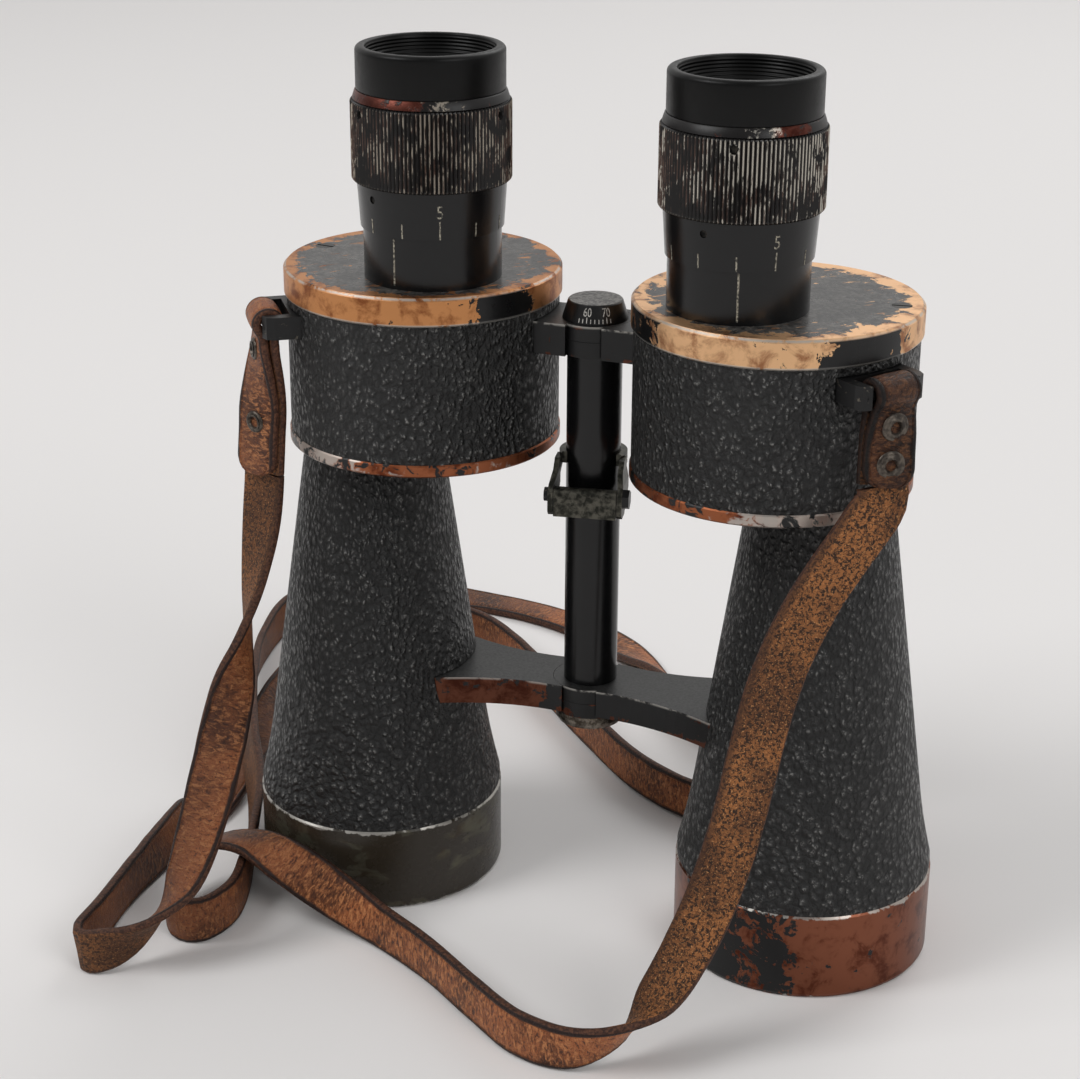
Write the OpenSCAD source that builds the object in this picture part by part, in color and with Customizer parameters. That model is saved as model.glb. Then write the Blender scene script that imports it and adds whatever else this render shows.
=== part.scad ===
// Marine binoculars: two prism barrels on a centre hinge, each with its own focusing eyepiece,
// and a leather neck strap riveted round a lug on each barrel. Sizes are in millimetres.
// The hinge axis is Z, both objective rings stand on z = 0, the eyepieces lie towards -Y,
// and the barrel called right is on +X.

/* [Barrel layout] */
// Distance from the hinge axis to the bare ring of each prism housing
hinge_room = 10.25; // [10:0.05:11.5]
// Distance of each eyepiece axis inward from the centre of its housing
eye_in = 6.5; // [5.5:0.5:7.5]
// Distance of the eyepiece axes in front of the hinge axis
eye_y = 9.4; // [8.4:0.2:10.4]
// Distance of each objective axis outward from the centre of its housing
obj_out = 12.5; // [11.5:0.5:13.5]
// Distance of the objective axes in front of the hinge axis
obj_y = 2; // [1:0.5:3]

/* [Heights] */
// Height of the metal ring round each objective
obj_ring_h = 21.2; // [20:0.2:24]
// Height of the leather covered taper above that ring
taper_h = 92.5; // [86:0.5:98]
// Height of the bare ring at the bottom of each prism housing
house_ring_h = 2.9; // [2:0.1:4]
// Height of the leather covered wall of each prism housing
house_h = 32.1; // [31:0.1:36]
// Height of the rim of each top plate
plate_h = 6.6; // [5.5:0.1:8]
// Bare height of each eyepiece socket below the scale sleeve
neck_h = 11.7; // [10:0.1:14]
// Height of the scale sleeve
sleeve_h = 10.2; // [9:0.2:12]
// Height of the knurled focus ring
knurl_h = 18; // [17:0.5:21]
// Height of the sloping collar between the knurling and the eyecup
collar_h = 2; // [1.8:0.1:3]
// Height of the eyecup
cup_h = 9.4; // [8:0.2:12]

/* [Objectives] */
// Diameter of the objective lenses
lens_d = 51; // [50:0.5:51.5]
// Wall of the cell that the lenses are burnished into
cell_wall = 1.5; // [1.2:0.1:1.8]
// Wall of the tapered barrel tube
tube_wall = 1.5; // [1.2:0.1:2]
// Wall of the objective ring
ring_wall = 1.35; // [1.1:0.05:2]
// Depth of the hood from the ring's foot to the cell
hood_depth = 8; // [7:0.5:9]
// Width of the shoulder inside the ring that the tube and the cell stand on
hood_step = 2; // [1.8:0.1:2.4]
// Height of the objective cell
cell_h = 12; // [11.8:0.1:12.4]
// Radius of the polished lens surfaces
lens_curve_r = 100; // [95:1:140]
// Least distance from the cell's foot to the front lens
lens_inset = 1; // [0.6:0.1:1.4]
// Thickness of the front lens at its middle
crown_t = 8; // [7.8:0.1:8.4]

/* [Barrel tubes and leather] */
// Outer radius of the tube where its straight taper starts
taper_low_r = 25.3; // [24:0.1:26]
// Outer radius of the tube where it meets the prism housing
taper_top_r = 14.8; // [14.5:0.1:15]
// Height of the curved shoulder between the objective cell and the straight taper
shoulder_h = 16.5; // [14:0.5:20]
// Height of the straight skirt below that shoulder
skirt_h = 2.3; // [1.5:0.1:4]
// Thickness of the pebbled leather
leather_t = 1.1; // [0.8:0.1:1.3]

/* [Prism housings] */
// Outer diameter of the housing's metal wall
house_d = 60.6; // [60:0.2:61]
// Wall of the housing above the prism shelf
house_wall = 1.6; // [1.4:0.1:2]
// Width of the ledge that carries the prism shelf
ledge_w = 1; // [0.8:0.1:1.4]
// Thickness of the housing floor
floor_t = 2; // [1.6:0.1:2.4]
// Step out from the housing's wall to the bare ring round its floor
house_ring_step = 1.45; // [1.35:0.05:1.6]
// Wall of the top plate's rim, which reaches down round the housing
plate_wall = 1.65; // [1.5:0.05:1.7]
// Thickness of the top plate
plate_t = 2.2; // [1.8:0.1:2.6]
// Distance of the plate screws inward from the housing's bore
plate_screw_in = 1.9; // [1.7:0.1:2.6]
// Radius of a plate screw's head
plate_screw_head_r = 2.2; // [1.8:0.1:2.4]
// Radius of a plate screw's shank
plate_screw_shank_r = 1.1; // [0.8:0.1:1.2]
// Length of a plate screw's shank
plate_screw_l = 7; // [5:0.5:9]

/* [Prisms] */
// Height of the prism shelf above the housing's foot
shelf_rise = 17.3; // [17:0.1:18]
// Thickness of the prism shelf
shelf_t = 2.5; // [2:0.1:3]
// Width of a prism
prism_w = 15; // [14:0.2:15.4]
// Width of the flat along a prism's roof edge
prism_flat = 2; // [1.5:0.1:3]
// Radius of the light holes through the shelf
light_r = 6.4; // [5.5:0.1:6.6]
// Thickness of a prism clip
clip_t = 0.8; // [0.6:0.1:1]
// Width of a prism clip
clip_w = 4; // [3:0.5:5]
// Length of a prism clip's feet
clip_foot = 2; // [1.5:0.1:2.4]

/* [Eyepieces] */
// Outer radius of the sliding lens tube
eye_tube_r = 12.95; // [12.5:0.05:13]
// Wall of the lens tube
eye_tube_wall = 1.05; // [0.9:0.05:1.5]
// Wall of the socket that the lens tube slides in
socket_wall = 2.45; // [2.2:0.05:2.6]
// Reduction of the socket's radius where it is screwed into the top plate
spigot_step = 1.1; // [0.8:0.1:1.4]
// Depth of the socket's spigot below the top of the plate
spigot_depth = 4.3; // [3:0.1:4.5]
// Height of the socket inside the focus ring above the sleeve's foot
socket_reach = 20.5; // [19:0.5:21]
// Wall of the scale sleeve at its foot
sleeve_low_wall = 0.5; // [0.4:0.05:0.9]
// Wall of the scale sleeve at its top
sleeve_top_wall = 1.2; // [1:0.05:1.7]
// Wall of the knurled ring over its ridges
knurl_wall = 2.3; // [2.1:0.1:2.9]
// Thickness of the web that joins the focus ring to the lens tube
web_t = 3.7; // [3:0.1:4]
// Thickness of the lens tube's flange and of its screwed retainer
flange_t = 1.5; // [1.2:0.1:1.6]
// Distance from the top plate up to the foot of the lens tube
lens_tube_rise = 2.2; // [2:0.1:5]
// Step of the eyecup outward from the bore of the focus ring
cup_step = 1; // [0.8:0.1:1.3]
// Width of the eyecup's lip
cup_lip = 2.2; // [1.9:0.1:3]
// Reach of the eyecup's base inward from the bore of the lens tube
cup_ledge = 2; // [1.4:0.1:2.9]
// Thickness of the eyecup's base
cup_base_t = 1.7; // [1.4:0.1:2.2]
// Thickness of the eye lens
eye_lens_t = 5.2; // [4.5:0.1:6]
// Thickness of the field lens
field_lens_t = 4.5; // [4:0.1:6]
// Radius of the grub screws in the focus ring
grub_r = 0.9; // [0.7:0.1:1.1]
// Bearing of the left ring's grub screws from the front, turning to the right
left_grub_turn = -39; // [-180:1:180]
// Bearing of the right ring's grub screws from the front, turning to the right
right_grub_turn = 9; // [-180:1:180]
// Bearing of the left sleeve's screw from the front, turning to the right
left_sleeve_screw_turn = -29; // [-180:1:180]
// Bearing of the right sleeve's screw from the front, turning to the right
right_sleeve_screw_turn = -12; // [-180:1:180]

/* [Hinge] */
// Radius of the hinge axle
axle_r = 3.5; // [3:0.1:4]
// Outer radius of the hinge tube
hinge_tube_r = 6.3; // [6:0.1:6.8]
// Radius of the upper hub
hub_top_r = 8.3; // [8.1:0.1:8.5]
// Radius of the lower hub
hub_low_r = 8.8; // [8.5:0.1:9]
// Half width of the arms at the hubs
arm_half = 8.3; // [8:0.1:8.5]
// Distance from the hinge axis to the inner edge of the arms
arm_edge = 4.3; // [4.1:0.1:4.8]
// Half width of the lower arms at the barrel tubes
arm_tip_half = 12.7; // [11:0.1:14]
// Depth of the hollow curve along the lower arms' edges
arm_sag = 2; // [1:0.1:3]
// Height of the upper arms
upper_arm_h = 7.4; // [6.8:0.1:8]
// Distance from the housing's plate rim down to the upper arms
upper_arm_drop = 2.3; // [2:0.1:3]
// Height of the foot of the lower arms
lower_arm_z = 50.6; // [46:0.2:56]
// Height of the lower arms
lower_arm_h = 6.7; // [6:0.1:8]
// Depth of the lower hub below the lower arms
hub_lip = 0.7; // [0.4:0.1:1]
// Radius of the nut under the hinge
nut_r = 8.2; // [7.8:0.1:8.5]
// Height of that nut
nut_h = 3.7; // [3:0.1:5]
// Lower radius of the scale cap
cap_low_r = 7.45; // [7.2:0.05:8]
// Upper radius of the scale cap
cap_top_r = 6.25; // [5.8:0.05:6.6]
// Height of the scale cap
cap_h = 4.4; // [4:0.1:5]

/* [Tube bracket] */
// Bearing that the bracket faces from the front, turning to the right
bracket_turn = 10; // [0:1:20]
// Height of the foot of the bracket's band
bracket_z = 112; // [80:0.5:118]
// Height of that band
bracket_h = 2.8; // [2.4:0.1:3.4]
// Thickness of the band
bracket_t = 1.5; // [1.2:0.1:1.6]
// Thickness of the bracket's ears and of its flap
ear_t = 1.2; // [1:0.1:1.4]
// Reach of the ears in front of the hinge axis
bracket_reach = 12.3; // [12:0.1:13]
// Depth of the ears below the band
ear_drop = 9.6; // [9:0.1:10.2]
// Spread of the ears beyond the band
ear_spread = 0.7; // [0.5:0.1:1]
// Distance from the band's foot down to the pin
pin_drop = 5; // [4.6:0.1:5.4]
// Distance from the ears' front edge back to the pin
pin_inset = 1.8; // [1.7:0.1:2.2]
// Radius of the bracket's pin
bracket_pin_r = 1; // [0.8:0.1:1.1]
// Depth of the flap below the pin
flap_drop = 4.6; // [4:0.1:5]
// Length of the flap's foot behind the pin
flap_foot = 2.2; // [1.8:0.1:2.4]
// Distance between the two holes in the flap
flap_hole_gap = 6.1; // [5:0.1:7]
// Radius of those holes
flap_hole_r = 0.8; // [0.6:0.1:1]

/* [Strap and lugs] */
// Width of the neck strap
strap_w = 11.5; // [10.5:0.1:11.8]
// Thickness of the neck strap
strap_t = 2.2; // [1.8:0.1:2.4]
// Bearing of each lug from the front of its housing, turning outward
lug_turn = 55; // [50:1:60]
// Height of a lug
lug_h = 5.2; // [4.6:0.1:5.6]
// Distance from the plate rim down to the lug
lug_drop = 2.1; // [1.9:0.1:3]
// Width of the slot through a lug
lug_slot_w = 12.8; // [12.4:0.1:13.2]
// Depth of the slot through a lug
lug_slot_d = 3.4; // [3.3:0.1:3.8]
// Width of a lug's two arms
lug_arm_w = 2.6; // [2:0.1:3]
// Thickness of a lug's outer bar
lug_bar_t = 2.6; // [2.4:0.1:3]
// Length of the left strap end below its lug
left_tab_l = 36; // [32:1:40]
// Length of the right strap end below its lug
right_tab_l = 19.5; // [19:0.5:22]
// Twist of the left strap end towards the front
left_tab_twist = 37; // [20:1:40]
// Twist of the right strap end towards the front
right_tab_twist = 20; // [10:1:25]
// Head radius of the left tubular rivets
left_rivet_r = 2.6; // [2.3:0.1:3.2]
// Head radius of the right tubular rivets
right_rivet_r = 3.2; // [2.4:0.1:3.2]
// Outer radius of a tubular rivet's barrel
rivet_barrel_r = 1.7; // [1.4:0.1:1.9]
// Radius of the hole through a tubular rivet
rivet_hole_r = 1.15; // [0.9:0.05:1.2]

/* [Clearances] */
// Radial clearance between pieces that are fitted together
fit = 0.05; // [0.02:0.01:0.08]
// Radial clearance of the shafts and tubes that turn or slide
run_fit = 0.05; // [0.03:0.01:0.08]
// Axial clearance between faces that turn on each other
face_gap = 0.1; // [0.05:0.01:0.2]
// Clearance left round the leather where metal passes it
leather_gap = 0.2; // [0.1:0.05:0.3]
// Clearance between the strap and what it lies against
strap_gap = 0.3; // [0.2:0.05:0.4]

/* [Hidden] */
$fn = 96;

// The two sides: the left barrel is the mirror image of the right one
left = -1;
right = 1;

// Plan of each side, from the hinge axis outward
house_r = house_d / 2;
house_ring_r = house_r + house_ring_step;
plate_r = house_r + fit + plate_wall;
house_x = house_ring_r + hinge_room;
eye_x = house_x - eye_in;
obj_x = house_x + obj_out;

// Levels, from the floor up
ring_top_z = obj_ring_h;
house_z = ring_top_z + taper_h;
wall_z = house_z + house_ring_h;
rim_z = wall_z + house_h;
plate_z = rim_z + plate_h;
plate_under_z = plate_z - plate_t;
sleeve_z = plate_z + neck_h;
knurl_z = sleeve_z + sleeve_h;
collar_z = knurl_z + knurl_h;
cup_z = collar_z + collar_h;
top_z = cup_z + cup_h;
shelf_z = house_z + shelf_rise;
shelf_top_z = shelf_z + shelf_t;

// Radii that follow from the lens outward
lens_r = lens_d / 2;
cell_in_r = lens_r + fit;
cell_out_r = cell_in_r + cell_wall;
tube_bore_r = cell_out_r + fit;
tube_foot_r = tube_bore_r + tube_wall;
ring_bore_r = tube_foot_r + fit;
obj_ring_r = ring_bore_r + ring_wall;
hood_r = tube_foot_r - hood_step;
skirt_z = ring_top_z + skirt_h;
straight_z = skirt_z + shoulder_h;
taper_slope = (taper_low_r - taper_top_r) / (house_z - straight_z);

// Objective lenses, from the front one up
cell_z = hood_depth;
cell_top_z = cell_z + cell_h;
cell_lip_r = lens_r - 0.8;
crown_z = cell_z + lens_inset;
crown_top_z = crown_z + crown_t;
crown_edge_z = crown_z + lens_sag(lens_r) - face_gap;
crown_lip_z = crown_z + lens_sag(cell_lip_r) - face_gap;
flint_top_z = crown_top_z + 2;

// Prism housing
screw_head_h = 1.3;
screw_foot_z = plate_z - screw_head_h - plate_screw_l;
house_bore_r = house_r - house_wall;
house_low_bore_r = house_bore_r - ledge_w;
plate_screw_r = house_bore_r - plate_screw_in;
spigot_r = eye_tube_r + run_fit + socket_wall - spigot_step;
boss_wall = 1.4;
boss_r = plate_screw_shank_r + fit + boss_wall;
plate_screw_bearings = [8, 107];

// The light path steps sideways twice, by the same amount and at right angles
path_dx = eye_x - obj_x;
path_dy = obj_y - eye_y;
prism_half = norm([path_dx, path_dy]) / sqrt(2);
prism_turn = atan2(path_dy, path_dx) - 45;
prism_h = prism_half - prism_flat / 2;

// Eyepiece
socket_bore_r = eye_tube_r + run_fit;
socket_r = socket_bore_r + socket_wall;
sleeve_bore_r = socket_r + run_fit;
sleeve_low_r = sleeve_bore_r + sleeve_low_wall;
sleeve_top_r = sleeve_bore_r + sleeve_top_wall;
ring_cavity_r = sleeve_bore_r;
knurl_r = ring_cavity_r + knurl_wall;
cup_r = ring_cavity_r + cup_step;
cup_mouth_r = cup_r - cup_lip;
web_z = collar_z - web_t;
flange_r = ring_cavity_r - 1;
lens_tube_z = plate_z + lens_tube_rise;
lens_tube_top_z = cup_z - face_gap - 1.1;
eye_tube_bore_r = eye_tube_r - eye_tube_wall;
cup_throat_r = eye_tube_bore_r - cup_ledge;
eye_lens_r = eye_tube_bore_r - fit;
lip_t = 1.1;
spigot_z = plate_z - spigot_depth;
socket_top_z = sleeve_z + socket_reach;
flange_z = web_z - face_gap - flange_t;
key_turn = 180;
key_w = 1.6;
key_z = plate_z + 7;
key_h = 4;
key_gap = 0.15;
key_run = 5;
field_z = lens_tube_z + 1;
field_top_z = field_z + field_lens_t;
eye_curve_r = 60;
retainer_top_z = cup_z - face_gap;
retainer_lip_r = eye_tube_bore_r - lip_t;
eye_lens_z = lens_tube_top_z - eye_lens_t + 1;
collar_low_r = knurl_r - 0.2;
collar_top_r = cup_r + 0.1;
grub_bearings = [0, 120, 240];
grub_z = collar_z - 2.2;
grub_tip_r = ring_cavity_r - 0.2;
sleeve_screw_r = 0.8;
sleeve_screw_z = sleeve_z + 0.75 * sleeve_h;

// Hinge
upper_arm_top_z = rim_z - upper_arm_drop;
upper_arm_z = upper_arm_top_z - upper_arm_h;
upper_split_z = upper_arm_z + upper_arm_h / 2;
lower_arm_top_z = lower_arm_z + lower_arm_h;
lower_hub_z = lower_arm_z - hub_lip;
lower_split_z = lower_hub_z + (lower_arm_h + hub_lip) / 2;
knuckle_bore_r = axle_r + run_fit;
nut_z = lower_hub_z - nut_h;

// Tube bracket
band_r = hinge_tube_r + fit + bracket_t;
ear_x = hinge_tube_r + fit + bracket_t / 3;
ear_out_x = band_r + ear_spread;
ear_root_y = hinge_tube_r - bracket_t / 2;
ear_foot_z = bracket_z - ear_drop;
pin_y = bracket_reach - pin_inset;
pin_z = bracket_z - pin_drop;
ear_bend_z = (bracket_z + pin_z) / 2;
ear_top_z = bracket_z + 0.8 * bracket_h;
pin_head_r = 2.3;
pin_head_h = 1.5;
cap_z = upper_arm_top_z;

// Lugs and strap ends
lug_top_z = rim_z - lug_drop;
lug_z = lug_top_z - lug_h;
lug_mid_z = lug_z + lug_h / 2;
lug_slot_r = house_r + leather_t + 0.8;
lug_bar_r = lug_slot_r + lug_slot_d + lug_bar_t / 2;
lug_half = lug_slot_w / 2 + lug_arm_w;
lug_corner_r = 2.6;
lug_lip = 0.3;
wrap = lug_bar_t / 2 + strap_gap + strap_t / 2;
layer_off = strap_t / 2 + 0.15;
rivet_seat = layer_off + strap_t / 2;
floor_gap = 0.1;
tab_lean = [0.8, -3.8];
pinch_h = 3.5;
rivet_back_step = 0.2;
rivet_depths_left = [6.8, 23.5];
rivet_depths_right = [6.8, 14.5];

// Corners of the strap's section, as half width and half thickness
strap_edge = 0.6;
strap_section = [
    [strap_w / 2 - strap_edge, -strap_t / 2], [strap_w / 2, strap_edge - strap_t / 2],
    [strap_w / 2, strap_t / 2 - strap_edge], [strap_w / 2 - strap_edge, strap_t / 2],
    [strap_edge - strap_w / 2, strap_t / 2], [-strap_w / 2, strap_t / 2 - strap_edge],
    [-strap_w / 2, strap_edge - strap_t / 2], [strap_edge - strap_w / 2, -strap_t / 2]
];

// Route of the strap between its riveted ends: x, y, z, then the direction of its width
strap_route = [
    [-72.3, -27.5, 95, 0.92, -0.4, 0, 1],
    [-72.5, -32, 83, 0.7, -0.7, 0, 1],
    [-73, -37, 71, 0.2, -0.98, 0, 1],
    [-73.5, -44, 58, -0.6, -0.8, 0, 1],
    [-74, -51, 45, -0.9, -0.43, 0, 1],
    [-74.7, -58, 33, -0.94, -0.1, 0, 1],
    [-76, -64.5, 22.5, -0.9, 0.3, 0, 1],
    [-79.5, -69.5, 14.5, -0.6, 0.6, -0.5, 1],
    [-85, -74.5, 9, -0.3, 0.4, -0.85, 1],
    [-90.5, -78.3, 6.6, 0, 0.15, -1, 1],
    [-94.8, -80, 6, 0.1, 0.1, -1, 1],
    [-97.6, -77.2, 6, 0.1, 0, -1, 1],
    [-99, -66, 6, 0, 0, -1, 1],
    [-101.5, -46, 6, 0, 0, -1, 1],
    [-103, -22, 5, 0.4, 0, -0.9, 1],
    [-105, 6, 1.7, 1, 0, 0, 1],
    [-110, 36, 1.7, 0.97, 0.2, 0, 1],
    [-115, 66, 4, 0.6, 0.2, -0.75, 1],
    [-113, 98, 6, 0, 0, -1, 1],
    [-99, 121, 6, 0, 0, -1, 1],
    [-80, 122, 6, 0, 0, -1, 1],
    [-60, 108, 6, 0, 0, -1, 1],
    [-28, 74, 6, 0, 0, -1, 1],
    [-2, 49, 6, 0, 0, -1, 1],
    [22, 38, 6, 0, 0, -1, 1],
    [44, 41, 6, 0, 0, -1, 1],
    [55, 55, 6, 0, 0, -1, 1],
    [47, 72, 6, 0, 0, -1, 1],
    [26, 73, 6, 0, 0, -1, 1],
    [6, 81, 6, 0, 0, -1, 1],
    [-14, 108, 4.5, 0.4, 0.5, -0.75, 1],
    [-36, 132, 1.8, 0.6, 0.8, 0, 1],
    [-62, 146, 1.5, 0.3, 0.95, 0, 1],
    [-92, 149, 1.8, -0.1, 1, 0.1, 1],
    [-121, 139, 4.2, -0.3, 0.6, 0.7, 1],
    [-136, 115, 6, -0.1, 0.1, 1, 1],
    [-133, 86, 6.5, 0.1, 0, 1, 1],
    [-121, 55, 8.6, 0.2, 0.1, 1, 1],
    [-106, 25, 8.8, 0.25, 0.1, 1, 1],
    [-92, 1, 7, 0.25, 0.1, 1, 1],
    [-83, -19, 6, 0.15, 0, 1, 1],
    [-77, -35, 6, 0, 0, 1, 1],
    [-73.8, -48, 6, 0, 0, 1, 1],
    [-76.5, -58, 6, 0, 0, 1, 1],
    [-83.5, -58.5, 6, 0, 0, 1, 1],
    [-88.5, -50, 7.5, 0.2, 0, 1, 1],
    [-88, -41, 11, 0.6, -0.3, 0.7, 1],
    [-83, -35, 13.6, 0.35, -0.85, 0.3, 1],
    [-74, -34.5, 14.6, 0, -1, 0, 1],
    [-64, -37.3, 13, -0.15, -0.85, -0.5, 1],
    [-52, -39.5, 8.8, -0.2, -0.5, -0.85, 1],
    [-37, -45, 6.2, 0, -0.1, -1, 1],
    [-20, -54.5, 6, 0, 0, -1, 1],
    [-4, -66, 6, 0, 0, -1, 1],
    [10, -75, 6, 0, 0, -1, 1],
    [23, -77, 6.5, -0.1, 0.2, -1, 1],
    [33, -72, 9.5, -0.3, 0.6, -0.75, 1],
    [39.5, -64.5, 17, -0.8, 0.5, 0.1, 1],
    [44.5, -59, 28, -0.93, 0.1, 0.1, 1],
    [48, -55, 39, -0.93, -0.2, 0, 1],
    [51, -50.5, 53, -0.93, -0.3, 0, 1],
    [55, -41, 81, -0.93, -0.3, 0, 1],
    [61, -34.5, 99, -0.92, -0.4, 0, 1],
    [69, -29, 114, -0.88, -0.45, 0, 1]
];

// A unit vector along v
function unit(v) = v / norm(v);

// A number that rises smoothly from 0 at a to 1 at b
function ease(h, a, b) = let(t = max(0, min(1, (h - a) / (b - a)))) t * t * (3 - 2 * t);

// The point at part t between b and c on a smooth curve through a, b, c and d
function curve_point(a, b, c, d, t) =
    0.5 * (2 * b + (c - a) * t + (2 * a - 5 * b + 4 * c - d) * t * t
        + (3 * b - a - 3 * c + d) * t * t * t);

// A smooth curve through all the points of a route
function smooth_route(p) = concat(
    [for (i = [0 : len(p) - 2], t = norm(place(p[i + 1]) - place(p[i])) > 29 ? [0, 0.5] : [0])
        curve_point(p[max(i - 1, 0)], p[i], p[i + 1], p[min(i + 2, len(p) - 1)], t)],
    [p[len(p) - 1]]
);

// The position held in a route point, and the direction of the strap's width there
function place(q) = [q[0], q[1], q[2]];
function width_way(q) = [q[3], q[4], q[5]];

// The direction a route runs in at its point i
function run_way(p, i) =
    i == 0 ? unit(place(p[1]) - place(p[0]))
    : i == len(p) - 1 ? unit(place(p[i]) - place(p[i - 1]))
    : unit(unit(place(p[i + 1]) - place(p[i])) + unit(place(p[i]) - place(p[i - 1])));

// A corner of the strap at a route point, for the running direction t and section corner c
function strap_corner(q, t, c) =
    let(w = width_way(q), across = unit(w - (w * t) * t), up = cross(t, across), k = q[6])
    place(q) + across * c[0] * k + up * c[1];

// All the corners of the strap at point i of a route, lifted where they would dip into the floor
function strap_corners(p, i) =
    let(t = run_way(p, i), q = [for (c = strap_section) strap_corner(p[i], t, c)],
        low = min([for (v = q) v[2]]))
    [for (v = q) v + [0, 0, max(0, floor_gap - low)]];

// A flat strap along a list of route points, each with its width scaled by the point's last number
module strap(p) {
    n = len(strap_section);
    last = len(p) - 1;
    points = [for (i = [0 : last]) each strap_corners(p, i)];
    // The diagonal changes over where the strap runs down, so that the faces of two layers match
    sides = [for (i = [0 : last - 1], k = [0 : n - 1])
        let(a = i * n + k, b = i * n + (k + 1) % n, down = p[i][2] > p[i + 1][2])
        each (down ? [[a, a + n, b], [b, a + n, b + n]] : [[a, b + n, b], [a, a + n, b + n]])];
    start = [for (k = [0 : n - 1]) k];
    end = [for (k = [n - 1 : -1 : 0]) last * n + k];
    polyhedron(points, concat([start, end], sides));
}

// Length, twist and rivets of each strap end
function tab_l(side) = side == left ? left_tab_l : right_tab_l;
function tab_twist(side) = side == left ? left_tab_twist : right_tab_twist;
function rivet_depths(side) = side == left ? rivet_depths_left : rivet_depths_right;
function rivet_r(side) = side == left ? left_rivet_r : right_rivet_r;

// Bearing of a strap end from the front, turning outward, at depth h below its lug
function tab_bearing(side, h) = lug_turn - tab_twist(side) * ease(h, lug_h / 2, 0.6 * tab_l(side));

// Direction out of a strap end's face, and along its width
function tab_out(side, h) = let(b = tab_bearing(side, h)) [side * sin(b), -cos(b), 0];
function tab_width(side, h) = let(b = tab_bearing(side, h)) [side * cos(b), sin(b), 0];

// Middle of a strap end between its two layers; below the bar it leans
function tab_middle(side, h) = let(lean = tab_lean * max(0, h - lug_bar_t) / (tab_l(side) - lug_bar_t)) [
    side * (house_x + lug_bar_r * sin(lug_turn) + lean[0]),
    lean[1] - lug_bar_r * cos(lug_turn),
    lug_mid_z - h
];

// Route point of one layer, which lies off from the middle
function tab_point(side, h, off, k) =
    concat(tab_middle(side, h) + off * tab_out(side, h), side * tab_width(side, h), [k]);

// Distance of each layer from the middle: apart round the bar, together below it
function layer_away(h) = layer_off + (wrap - layer_off) * (1 - ease(h, 0, pinch_h));

// Route of a strap end: up its front layer from the rounded tip, round the bar and down behind
function tab_route(side) = let(l = tab_l(side)) concat(
    [for (q = [[0, 0.5], [0.7, 0.74], [1.8, 0.9], [3.5, 1]])
        tab_point(side, l - q[0], layer_away(l), q[1])],
    [for (h = [l - 8 : -4 : 2]) tab_point(side, h, layer_away(h), 1)],
    [for (a = [0 : 20 : 180])
        tab_point(side, 0, wrap * cos(a), 1) + [0, 0, wrap * sin(a), 0, 0, 0, 0]],
    [for (i = [floor((l - 10) / 4) : -1 : 0]) let(h = l - 8 - 4 * i)
        tab_point(side, h, -layer_away(h), 1)],
    [for (h = [l - 3.5, l]) tab_point(side, h, -layer_away(l), 1)]
);

// Whole route of the neck strap; its right end turns its width the other way round
function turned_over(q) = [q[0], q[1], q[2], -q[3], -q[4], -q[5], q[6]];
neck_route = concat(
    [tab_point(left, left_tab_l + 0.05, -layer_off, 1), tab_point(left, left_tab_l + 4, -layer_off, 1)],
    strap_route,
    [turned_over(tab_point(right, right_tab_l + 4, -layer_off, 1)),
        turned_over(tab_point(right, right_tab_l + strap_gap, -layer_off, 1))]
);

// Depth of a lens surface at radius r below its middle
function lens_sag(r) = lens_curve_r - sqrt(lens_curve_r * lens_curve_r - r * r);

// Outer radius of the barrel tube's curved shoulder, t running from 0 at its foot to 1 at its top
function shoulder_r(t) = let(slope = taper_slope * shoulder_h)
    taper_low_r + slope * (1 - t) + (tube_foot_r - taper_low_r - slope) * (1 - t) * (1 - t);

// Outer profile of the barrel tube, grown by g, from height z0 upward
function tube_profile(g) = concat(
    [for (t = [0 : 0.2 : 1]) [shoulder_r(t) + g, skirt_z + t * shoulder_h]],
    [[taper_top_r + g, house_z]]
);

// Draws a side: the right one as written, the left one as its mirror image
module on_side(side) {
    mirror([side == left ? 1 : 0, 0, 0]) children();
}

// Places things on a side's objective, housing or eyepiece axis
module at_objective(side) {
    on_side(side) translate([obj_x, -obj_y, 0]) children();
}

module at_housing(side) {
    on_side(side) translate([house_x, 0, 0]) children();
}

module at_eyepiece(side) {
    translate([side * eye_x, -eye_y, 0]) children();
}

// A body turned about Z from a profile of [radius, height] points
module turned(profile) {
    rotate_extrude() polygon(profile);
}

// A plain ring between two heights
module ring(r, bore, z0, z1) {
    turned([[bore, z0], [r, z0], [r, z1], [bore, z1]]);
}

// A round rod between two heights
module rod(r, z0, z1) {
    translate([0, 0, z0]) cylinder(r = r, h = z1 - z0);
}

// A rod that lies along a bearing from the front, turning to the right, from radius r0 to r1
module radial_rod(r, turn, z, r0, r1) {
    rotate([0, 0, turn]) translate([0, -r1, z]) rotate([-90, 0, 0]) cylinder(r = r, h = r1 - r0, $fn = 24);
}

// Metal tube that tapers from the objective up to the prism housing
module barrel_tube(side) {
    inner = [for (p = tube_profile(0)) [p[0] - tube_wall, p[1]]];
    color("dimgray") at_objective(side) turned(concat(
        [[tube_bore_r, hood_depth], [tube_foot_r, hood_depth]],
        tube_profile(0),
        [for (i = [len(inner) - 1 : -1 : 0]) inner[i]]
    ));
}

// Pebbled leather round the barrel tube, cut away round the lower hinge arm
module tube_covering(side) {
    inner = tube_profile(0);
    color("black") difference() {
        at_objective(side) turned(concat(
            [[tube_foot_r, ring_top_z], [tube_foot_r + leather_t, ring_top_z]],
            tube_profile(leather_t),
            [for (i = [len(inner) - 1 : -1 : 0]) inner[i]]
        ));
        on_side(side) lower_arm_web(leather_gap, lower_arm_z - leather_gap, lower_arm_top_z + leather_gap);
    }
}

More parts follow.
